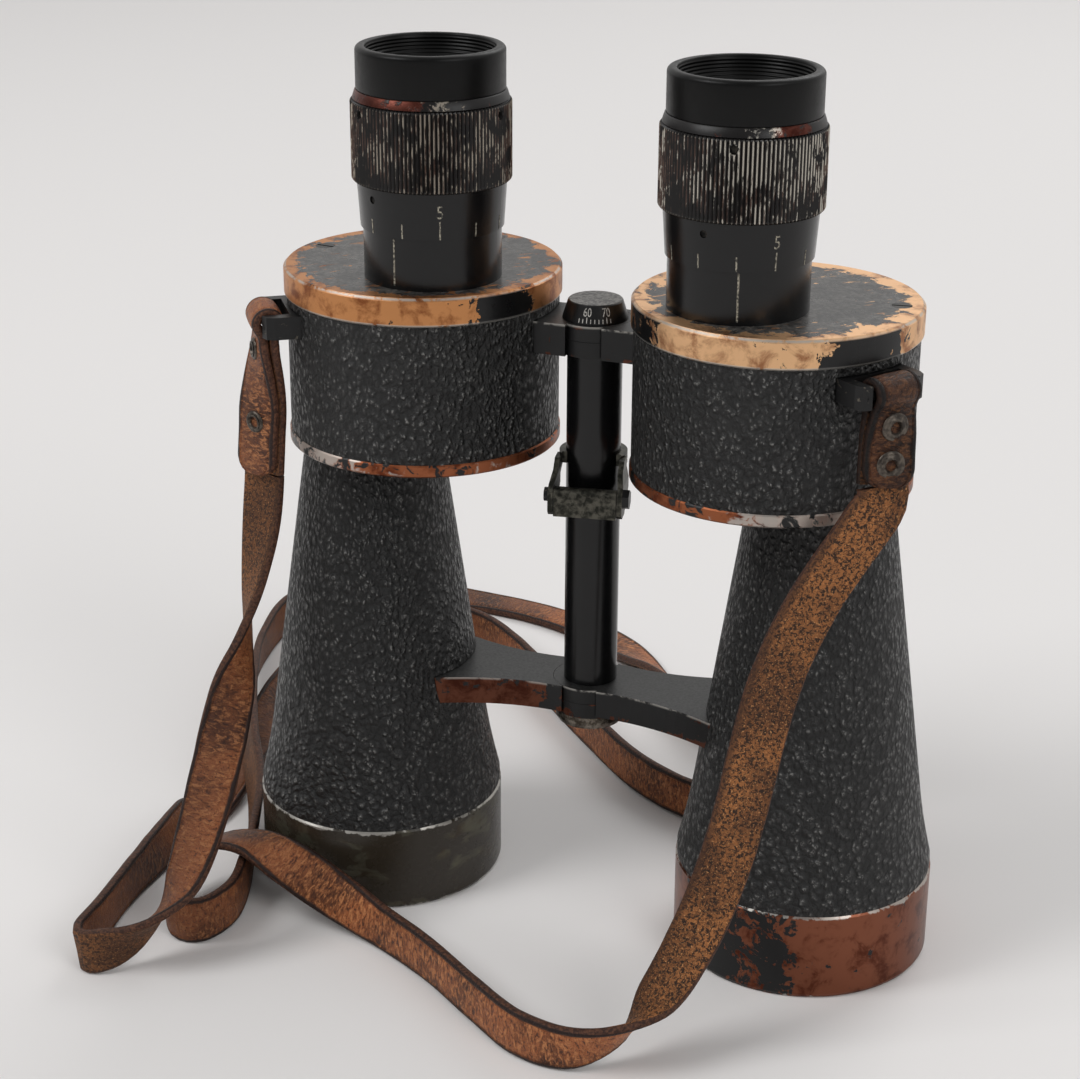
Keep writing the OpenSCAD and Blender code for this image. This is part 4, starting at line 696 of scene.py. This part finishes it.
def knurl_look(side, axis, peak, foot, top):
    """Knurled ring: paint left in the flutes, ridges rubbed to cream streaks, and the collar above."""
    look = Look(side + "_knurl_paint")
    r, turn = look.round_place(axis)
    z = look.xyz()[2]
    around = look.times(turn, peak)
    streaks = look.noise(0.6 * MM, 4, 0.72, 0.0, look.vector(around, look.times(z, 0.11)))
    patches = look.noise(5 * MM, 4, 0.65, 0.5, look.vector(around, look.times(z, 0.6), 7.0))
    ridge = look.rise(r, peak - 0.26 * MM, peak - 0.04 * MM)
    high_part = look.rise(z, foot + 6 * MM, top - 2 * MM)
    if side == "left":
        lean = look.times(look.rise(look.toward(turn, -58), 0.5, 1.0), 0.035)
        limit = 0.555
    else:
        lean = look.rise(look.toward(turn, -50), 0.45, 0.95)
        lean = look.times(lean, look.mix(high_part, 0.35, 1.0), 0.115)
        limit = 0.562
    level = look.plus(look.times(streaks, 0.62), look.times(patches, 0.42), lean)
    silver = look.times(ridge, look.rise(level, limit, limit + 0.03))
    ends = look.most(look.near(z, top - 0.3 * MM, 0.5 * MM), look.near(z, foot + 0.35 * MM, 0.5 * MM))
    dots = look.times(ridge, ends, look.rise(patches, 0.36, 0.52), 0.6)
    inside = look.rise(z, foot - 0.1 * MM, foot + 0.15 * MM)
    bright = look.times(look.most(silver, dots), inside)
    brown = look.times(ridge, look.rise(patches, 0.44, 0.58))
    paint = look.mix(brown, (0.006, 0.005, 0.005), (0.095, 0.052, 0.038))
    # The collar is the cone over the ridges: reddish, most widely on the left ring, with grey scuffs
    cone = look.rise(z, top + 0.05 * MM, top + 0.1 * MM)
    red_way, red_start = {"left": (-120, 0.35), "right": (-38, 0.93)}[side]
    red = look.rise(look.toward(turn, red_way), red_start, 1.0)
    grey = look.rise(look.toward(turn, -58), 0.93, 1.0)
    speck = look.noise(1.8 * MM, 5, 0.65, 0.4)
    worn_cone = look.times(cone, look.rise(look.plus(look.times(red, 0.30), speck), 0.62, 0.74))
    grey_cone = look.times(cone, look.rise(look.plus(look.times(grey, 0.2), speck), 0.70, 0.80), 0.6)
    bright = look.mix(cone, look.times(bright, 0.9), grey_cone)
    red_brown = (0.11, 0.034, 0.024)
    return worn_paint(look, worn_cone, bright, paint, red_brown, 0.30, 0.30, KNURL_EDGES[side])


# From the first of these x places to the second, the strap's colours grow darker.
DARKENED_X_SPAN = (-50 * MM, -85 * MM)


def strap_looks(name, tone):
    """Grain, flesh and cut edge of the old strap. A tone above 1 makes them lighter.
    The coordinates run along and across the strap, in metres."""
    def shade(red, green, blue):
        return (red * tone, green * tone, blue * tone)

    grain = Look(name + "_grain", Specular_IOR_Level=0.25)
    place = grain.add("UVMap", uv_map="strap").outputs[0]
    parts = grain.add("SeparateXYZ", {0: place}).outputs
    off = grain.math("ABSOLUTE", parts[1])
    broad = grain.noise(26 * MM, 4, 0.62, 0.4, place)
    cross = grain.noise(2.0 * MM, 5, 0.66, 0.9, grain.vector(grain.times(parts[0], 2.4), parts[1]))
    pores = grain.noise(0.4 * MM, 3, 0.6, 0.0, place)
    deep, warm = shade(0.070, 0.024, 0.012), shade(0.36, 0.115, 0.040)
    brown = grain.mix(grain.rise(broad, 0.34, 0.62), deep, warm)
    rubbed = grain.mix(grain.rise(cross, 0.47, 0.64), brown, shade(0.50, 0.205, 0.080))
    rubbed = grain.mix(grain.rise(pores, 0.56, 0.68), rubbed, shade(0.07, 0.026, 0.013))
    rim = grain.rise(off, STRAP_W * 0.33, STRAP_W * 0.47)
    stain = grain.noise(7 * MM, 4, 0.65, 0.6, place)
    dark = grain.plus(grain.times(rim, 0.55), grain.times(stain, 0.7))
    folds = grain.rise(cross, 0.47, 0.36)
    dark = grain.most(grain.rise(dark, 0.42, 0.85), grain.times(folds, 0.8))
    # The grain side is made darker towards -x, over the x span given above.
    darker_left = grain.times(grain.rise(grain.xyz()[0], *DARKENED_X_SPAN), 0.55)
    dark = grain.most(dark, darker_left)
    grain.set("Base_Color", grain.mix(dark, rubbed, shade(0.020, 0.010, 0.008)))
    grain.set("Roughness", grain.plus(grain.times(cross, 0.35), 0.28))
    height = grain.plus(cross, grain.times(pores, 0.3))
    grain.set("Normal", grain.bump(height, 0.5 * MM))

    flesh = Look(name + "_flesh", Specular_IOR_Level=0.2)
    place = flesh.add("UVMap", uv_map="strap").outputs[0]
    parts = flesh.add("SeparateXYZ", {0: place}).outputs
    broad = flesh.noise(18 * MM, 4, 0.6, 0.5, place)
    fuzz = flesh.noise(0.45 * MM, 4, 0.7, 0.4, place)
    specks = flesh.noise(0.8 * MM, 5, 0.7, 0.8, place)
    deep, warm = shade(0.140, 0.056, 0.023), shade(0.36, 0.142, 0.048)
    tan = flesh.mix(flesh.rise(broad, 0.34, 0.64), deep, warm)
    spotted = flesh.mix(flesh.rise(specks, 0.43, 0.56), shade(0.030, 0.017, 0.012), tan)
    spotted = flesh.mix(flesh.rise(fuzz, 0.56, 0.68), spotted, shade(0.58, 0.285, 0.115))
    rim = flesh.rise(parts[1], STRAP_W * 0.30, STRAP_W * 0.44)
    # The flesh side is made darker towards -x, over the x span given above.
    darker_left = flesh.times(flesh.rise(flesh.xyz()[0], *DARKENED_X_SPAN), 0.5)
    dark = flesh.most(flesh.times(rim, 0.7), darker_left)
    flesh.set("Base_Color", flesh.mix(dark, spotted, shade(0.055, 0.026, 0.016)))
    flesh.set("Roughness", 0.62)
    flesh.set("Normal", flesh.bump(flesh.plus(specks, fuzz), 0.25 * MM))

    edge = Look(name + "_edge", Roughness=0.6, Specular_IOR_Level=0.25)
    nap = edge.noise(0.7 * MM, 4, 0.65)
    deep, warm = shade(0.030, 0.013, 0.009), shade(0.120, 0.050, 0.027)
    edge.set("Base_Color", edge.mix(edge.rise(nap, 0.35, 0.7), deep, warm))
    edge.set("Normal", edge.bump(nap, 0.2 * MM))
    return [grain.material, flesh.material, edge.material]


def rivet_look():
    look = Look("rivet_metal", Metallic=0.75)
    stain = look.noise(1.2 * MM, 4, 0.6)
    dark, light = (0.04, 0.033, 0.028), (0.13, 0.11, 0.09)
    look.set("Base_Color", look.mix(look.rise(stain, 0.35, 0.65), dark, light))
    look.set("Roughness", 0.42)
    look.set("Normal", look.bump(stain, 0.05 * MM))
    return look.material


def metal_look(name, dark, light, roughness=0.42, size=1.5 * MM):
    """Bare metal with stains from dark to light."""
    look = Look(name, Metallic=0.85)
    stain = look.noise(size, 5, 0.62, 0.3)
    look.set("Base_Color", look.mix(look.rise(stain, 0.38, 0.66), dark, light))
    look.set("Roughness", look.plus(look.times(stain, 0.25), roughness - 0.12))
    look.set("Normal", look.bump(look.noise(0.5 * MM, 3), 0.02 * MM))
    return look.material


def glass_look():
    look = Look(
        "coated_glass", Base_Color=(0.92, 0.97, 1.0), Roughness=0.02, Transmission_Weight=1.0, IOR=1.52
    )
    film = look.noise(8 * MM, 2)
    look.set("Roughness", look.times(film, 0.05))
    return look.material


def mark_look(name, dull, pale):
    """Worn filling of the engraved marks."""
    look = Look(name, Roughness=0.6)
    worn = look.noise(0.5 * MM, 4, 0.7)
    look.set("Base_Color", look.mix(look.rise(worn, 0.42, 0.56), dull, pale))
    return look.material


def cap_look():
    """Scale cap: black bevel and a worn grey disc on top."""
    look = Look("cap_paint")
    top = high("scale_cap").z
    disc = look.rise(look.xyz()[2], top - 0.12 * MM, top - 0.04 * MM)
    speck = look.noise(0.9 * MM, 5, 0.65)
    grey = look.mix(look.rise(speck, 0.35, 0.65), (0.05, 0.048, 0.046), (0.22, 0.21, 0.195))
    look.set("Base_Color", look.mix(disc, BLACK, grey))
    look.set("Roughness", look.mix(disc, 0.33, 0.5))
    look.set("Normal", look.bump(speck, 0.04 * MM))
    return look.material


# Focus rings and eyecups
FLUTES = 116
FLUTE_DEPTH = 0.45 * MM
FLUTE_ROWS = 44
KNURL_R = 17.8 * MM
KNURL_H = 18 * MM
COLLAR_TOP_R = 16.5 * MM
SLEEVE_WALL = 1.2 * MM
GRUB_R = 0.85 * MM
GRUB_TURNS = {"left": -39, "right": 9}
GRUB_DROP = 2.2 * MM


def focus_ring(side):
    """Fluted ring with bevelled ends, three screw holes and the sloping collar above it."""
    node = side + "_focus_ring"
    axis, foot, top = axis_of(node), low(node).z, high(node).z
    peak = KNURL_R
    bore = radius_of(side + "_scale_sleeve") - SLEEVE_WALL
    collar_foot = foot + KNURL_H
    rows = [(bore, foot), (peak - 0.95 * MM, foot), (peak - 0.55 * MM, foot + 0.05 * MM)]
    rows += [(peak - 0.2 * MM, foot + 0.3 * MM), (peak, foot + 0.6 * MM)]
    step = (KNURL_H - 1.2 * MM) / FLUTE_ROWS
    rows += [(peak, foot + 0.6 * MM + step * i) for i in range(1, FLUTE_ROWS + 1)]
    rows += [(peak - 0.2 * MM, collar_foot - 0.3 * MM), (peak - 0.55 * MM, collar_foot - 0.05 * MM)]
    rows += [(peak - 0.9 * MM, collar_foot), (17.3 * MM, collar_foot + 0.12 * MM)]
    rows += [(17.2 * MM, collar_foot + 0.4 * MM), (COLLAR_TOP_R + 0.25 * MM, top - 0.25 * MM)]
    rows += [(COLLAR_TOP_R, top), (bore, top)]
    grub_z = collar_foot - GRUB_DROP
    holes = [math.radians(GRUB_TURNS[side] + 120 * k - 90) for k in range(3)]

    def flute(r, z, a):
        if not foot + 0.02 * MM < z < collar_foot - 0.02 * MM or r < peak - 0.8 * MM:
            return r
        deep = 0.5 - 0.5 * math.cos(FLUTES * a)
        r -= FLUTE_DEPTH * deep ** 0.8
        for hole in holes:
            gap = math.atan2(math.sin(a - hole), math.cos(a - hole)) * peak
            away = math.hypot(gap, z - grub_z)
            if away < GRUB_R:
                r = peak - 1.3 * MM
            elif away < GRUB_R + 0.3 * MM:
                r = peak - 0.12 * MM
        return r

    look = knurl_look(side, axis, peak, foot, collar_foot)
    ring = lathe(side + "_fluted_ring", rows, axis, look, FLUTES * 4, flute)
    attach(ring, side + "_focus_ring")
    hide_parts(node)
    return ring


CUP_FOOT_R = 9.9 * MM
CUP_MOUTH_R = 14.3 * MM
CUP_RINGS = 9
ROWS_PER_RING = 8


def eyecup(side, look):
    """Eyecup with a rounded lip and a funnel that carries fine moulded rings."""
    node = side + "_eyecup"
    axis, foot, top = axis_of(node), low(node).z, high(node).z
    outer = radius_of(node)
    profile = [(CUP_FOOT_R, foot), (outer - 0.5 * MM, foot), (outer - 0.12 * MM, foot + 0.1 * MM)]
    profile += [(outer, foot + 0.45 * MM), (outer, top - 1.6 * MM)]
    profile += arc((outer - 1.1 * MM, top - 1.1 * MM), 1.1 * MM, 0, 90, 9)
    profile += arc((CUP_MOUTH_R + 0.5 * MM, top - 0.5 * MM), 0.5 * MM, 90, 180, 6)
    start, end = (CUP_MOUTH_R, top - 0.6 * MM), (10.6 * MM, foot + 1.9 * MM)
    count = CUP_RINGS * ROWS_PER_RING
    for i in range(1, count + 1):
        t = i / count
        ripple = 0.16 * MM * (0.5 - 0.5 * math.cos(2 * math.pi * t * CUP_RINGS))
        sag = 1.1 * MM * math.sin(math.pi * t)
        r = start[0] + t * (end[0] - start[0]) + sag - ripple
        profile.append((r, start[1] + t * (end[1] - start[1])))
    profile.append((CUP_FOOT_R, foot + 1.7 * MM))
    cup = lathe(side + "_moulded_cup", profile, axis, look, 144)
    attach(cup, side + "_focus_ring")
    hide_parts(node)
    return cup


# Marks of the scales
MARK_LIFT = 0.04 * MM
MARK_W = 0.34 * MM


def wrap_round(points, axis, turn, radius, slope, base):
    """Lays flat points on a cylinder or cone. turn is the bearing from the front, to the right."""
    laid = []
    for x, z in points:
        r = radius + slope * (z - base)
        a = math.radians(turn - 90) + x / radius
        laid.append((axis[0] + r * math.cos(a), axis[1] + r * math.sin(a), z))
    return laid


def mark_piece(name, patches, material, body):
    """One mesh of flat marks: each patch is a list of points and a list of faces."""
    points, faces = [], []
    for part_points, part_faces in patches:
        start = len(points)
        points += part_points
        faces += [tuple(start + i for i in face) for face in part_faces]
    piece = link_mesh(name, points, faces, [material])
    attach(piece, body)
    return piece


def tick(axis, turn, radius, z0, z1, width, slope=0.0, base=0.0):
    flat = [(-width / 2, z0), (width / 2, z0), (width / 2, z1), (-width / 2, z1)]
    return wrap_round(flat, axis, turn, radius, slope, base), [(0, 1, 2, 3)]


def numeral(text, height, middle_z, axis, turn, radius, slope, base):
    """A numeral laid on a cylinder or cone, upright and centred on its bearing."""
    curve = bpy.data.curves.new("numeral", "FONT")
    curve.body = text
    curve.align_x = "CENTER"
    curve.size = height / 0.7
    curve.resolution_u = 4
    source = bpy.data.objects.new("numeral", curve)
    bpy.context.scene.collection.objects.link(source)
    bpy.context.view_layer.update()
    mesh = bpy.data.meshes.new_from_object(source)
    flat = [(0.8 * v.co.x, v.co.y + middle_z - height / 2) for v in mesh.vertices]
    faces = [tuple(p.vertices) for p in mesh.polygons]
    bpy.data.objects.remove(source)
    bpy.data.curves.remove(curve)
    bpy.data.meshes.remove(mesh)
    return wrap_round(flat, axis, turn, radius, slope, base), faces


# Sleeve and socket under the marks, and the bearings of the marks from the front, to the right
SLEEVE_FOOT_R = 16.0 * MM
SLEEVE_TOP_R = 16.7 * MM
SLEEVE_TICKS = 12
SOCKET_R = 15.45 * MM
INDEX_TURNS = {"left": -10.3, "right": 15.3}
FIVE_TURNS = {"left": 28.7, "right": 43.3}


def eyepiece_marks(side, material):
    """Ticks and a numeral round the sleeve, and the index line on the socket below it."""
    axis = axis_of(side + "_scale_sleeve")
    foot, top = low(side + "_scale_sleeve").z, high(side + "_scale_sleeve").z
    slope = (SLEEVE_TOP_R - SLEEVE_FOOT_R) / (top - foot)
    surface = SLEEVE_FOOT_R + MARK_LIFT
    five = FIVE_TURNS[side]
    patches = [numeral("5", 2.9 * MM, foot + 6.3 * MM, axis, five, surface, slope, foot)]
    for k in range(SLEEVE_TICKS):
        turn = five + 360 / SLEEVE_TICKS * k
        tall = 3.3 if k else 4.2
        span = (foot + 0.1 * MM, foot + tall * MM)
        patches.append(tick(axis, turn, surface, *span, MARK_W, slope, foot))
    mark_piece(side + "_sleeve_marks", patches, material, side + "_focus_ring")
    plate_top = high(side + "_top_plate").z
    span = (plate_top + 0.8 * MM, foot - 0.3 * MM)
    line = tick(axis, INDEX_TURNS[side], SOCKET_R + MARK_LIFT, *span, 0.42 * MM)
    mark_piece(side + "_index_line", [line], material, side + "_barrel")


# Bevel of the cap, the bearing of its 60 and the turn for each further millimetre
BEVEL_FOOT_R = 7.45 * MM
BEVEL_TOP_R = 6.25 * MM
DISTANCE_TURN_60 = 3.4
DISTANCE_TURN_PER_MM = 3.62


def cap_marks(material):
    """Eye distance scale on the bevel of the cap: ticks every 2 mm, with 60 and 70."""
    foot, top = low("scale_cap").z, high("scale_cap").z
    slope = (BEVEL_TOP_R - BEVEL_FOOT_R) / (top - foot - 0.6 * MM)
    base = foot + 0.3 * MM
    surface = BEVEL_FOOT_R + MARK_LIFT
    patches = []
    for value in range(56, 73, 2):
        turn = DISTANCE_TURN_60 + DISTANCE_TURN_PER_MM * (value - 60)
        tens = value % 10 == 0
        span = (base + 0.2 * MM, base + (1.5 if tens else 1.1) * MM)
        patches.append(tick((0, 0), turn, surface, *span, 0.2 * MM, slope, base))
        if tens:
            text, middle = str(value), base + 2.6 * MM
            patches.append(numeral(text, 1.9 * MM, middle, (0, 0), turn, surface, slope, base))
    mark_piece("distance_marks", patches, material, "left_barrel")


# Floor, backdrop and light. Each lamp has its place, its width and its power in watts
FLOOR = (0.84, 0.82, 0.81)
FLOOR_REACH = 30
BACKDROP = (0.74, 0.73, 0.72)
ROOM = (0.22, 0.22, 0.22)
ROOM_LIGHT = 0.46
LAMP_AIM = (0, 0, 0.1)
LAMPS = {
    "key": ((-1.3, -1.1, 1.8), 1.1, 21),
    "fill": ((1.5, -0.9, 1.2), 1.0, 9),
    "back": ((0.3, 1.5, 1.5), 1.3, 10),
}


def add_floor():
    mesh = bpy.data.meshes.new("floor")
    corners = [(-1, -1), (1, -1), (1, 1), (-1, 1)]
    points = [(FLOOR_REACH * x, FLOOR_REACH * y, 0) for x, y in corners]
    mesh.from_pydata(points, [], [(0, 1, 2, 3)])
    floor = bpy.data.objects.new("floor", mesh)
    bpy.context.scene.collection.objects.link(floor)
    look = Look("floor_paper", Base_Color=FLOOR, Roughness=0.9, Specular_IOR_Level=0.2)
    mesh.materials.append(look.material)


def add_world():
    """A pale backdrop behind the object and a dimmer room on the side of the camera."""
    world = bpy.data.worlds.new("studio")
    bpy.context.scene.world = world
    world.use_nodes = True
    world.node_tree.nodes.clear()
    tree = Tree(world.node_tree)
    rays = tree.add("LightPath").outputs
    seen = tree.most(rays["Is Camera Ray"], rays["Is Glossy Ray"], rays["Is Transmission Ray"])
    way = tree.add("TexCoord").outputs["Generated"]
    behind = tree.rise(tree.add("SeparateXYZ", {0: way}).outputs[1], -0.4, 0.3)
    backdrop = {"Color": tree.mix(behind, ROOM, BACKDROP), "Strength": 1.0}
    dim = tree.add("Background", {"Color": (1, 1, 1), "Strength": ROOM_LIGHT}).outputs[0]
    pale = tree.add("Background", backdrop).outputs[0]
    mixed = tree.add("MixShader", {0: seen, 1: dim, 2: pale}).outputs[0]
    tree.add("OutputWorld", {"Surface": mixed})


def add_lamp(name, place, size, power):
    data = bpy.data.lights.new(name, "AREA")
    data.shape = "DISK"
    data.size = size
    data.energy = power
    lamp = bpy.data.objects.new(name, data)
    bpy.context.scene.collection.objects.link(lamp)
    way = Vector(LAMP_AIM) - Vector(place)
    lamp.matrix_world = Matrix.Translation(place) @ way.to_track_quat("-Z", "Y").to_matrix().to_4x4()


def paint(node, material):
    """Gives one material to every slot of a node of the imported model."""
    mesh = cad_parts[node].data
    mesh.materials.clear()
    mesh.materials.append(material)


# How much lighter or darker each strap end is than the loose strap
END_TONES = {"left": 1.25, "right": 0.24}


def add_straps():
    """The loose strap, its two riveted ends and their rivets."""
    looks = strap_looks("strap", 1.0)
    metal = rivet_look()
    route = neck_route()
    strap = strap_mesh("leather_neck_strap", route, looks, 1)
    ends, studs = [], []
    for side in SIDES:
        end_looks = strap_looks(side + "_end", END_TONES[side])
        end = strap_mesh(side + "_folded_end", tab_route(side), end_looks, 3 + SIDES[side])
        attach(end, side + "_barrel")
        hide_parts(side + "_strap_end")
        ends.append(end)
        studs += rivets(side, metal)
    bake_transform(strap)
    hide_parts("neck_strap")


def paint_nodes():
    """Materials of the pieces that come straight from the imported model."""
    inner = plain_paint("inner_paint", wear=0.8, gloss=0.5)
    glass = glass_look()
    steel = metal_look("old_steel", (0.05, 0.047, 0.042), (0.30, 0.28, 0.25))
    gunmetal = metal_look("gunmetal", (0.020, 0.020, 0.016), (0.11, 0.104, 0.085), size=1.6 * MM)
    turned_brass = metal_look("turned_brass", (0.32, 0.22, 0.09), (0.55, 0.42, 0.2), 0.35)
    blackened = metal_look("blackened_steel", (0.004, 0.004, 0.004), (0.045, 0.040, 0.034), 0.36)
    gloss = plain_paint("gloss_paint", wear=0.76, gloss=0.16)
    rubbed = plain_paint("rubbed_paint", wear=0.62, gloss=0.32)
    for side in SIDES:
        looks = {
            "barrel_tube": inner, "objective_cell": inner, "objective_crown": glass,
            "objective_flint": glass, "prisms": glass, "eyepiece_lenses": glass,
            "prism_shelf": steel, "prism_clips": steel,
            "plate_screws": blackened, "ring_screws": blackened,
            "lens_tube": turned_brass, "tube_retainer": inner, "eyepiece_socket": gloss,
            "scale_sleeve": gloss, "strap_lug": rubbed,
            "objective_ring": objective_look(side), "prism_housing": housing_look(side),
            "top_plate": plate_look(side),
            "tube_covering": leather_look(side, "tube", side + "_objective_ring"),
            "housing_covering": leather_look(side, "housing", side + "_top_plate"),
            "upper_arm": arm_look(side + "_upper_arm_paint", side + "_upper_arm", False),
            "lower_arm": arm_look(side + "_lower_arm_paint", side + "_lower_arm", side == "left"),
        }
        for part, material in looks.items():
            paint(f"{side}_{part}", material)
    paint("hinge_tube", gloss)
    paint("hinge_axle", steel)
    paint("scale_cap", cap_look())
    paint("hinge_nut", metal_look("nut_metal", (0.05, 0.04, 0.03), (0.26, 0.23, 0.19)))
    paint("tube_bracket", gunmetal)
    paint("bracket_flap", gunmetal)
    paint("bracket_pin", rubbed)


def add_eyepieces():
    cup = cup_look()
    marks = mark_look("cream_filling", (0.04, 0.037, 0.030), (0.36, 0.33, 0.26))
    for side in SIDES:
        focus_ring(side)
        eyecup(side, cup)
        eyepiece_marks(side, marks)
    cap_marks(mark_look("white_filling", (0.30, 0.29, 0.27), (0.62, 0.60, 0.56)))


add_camera()
add_straps()
paint_nodes()
add_eyepieces()
add_floor()
add_world()
for lamp, (place, size, power) in LAMPS.items():
    add_lamp(lamp, place, size, power)
bpy.context.scene.view_settings.view_transform = "Standard"
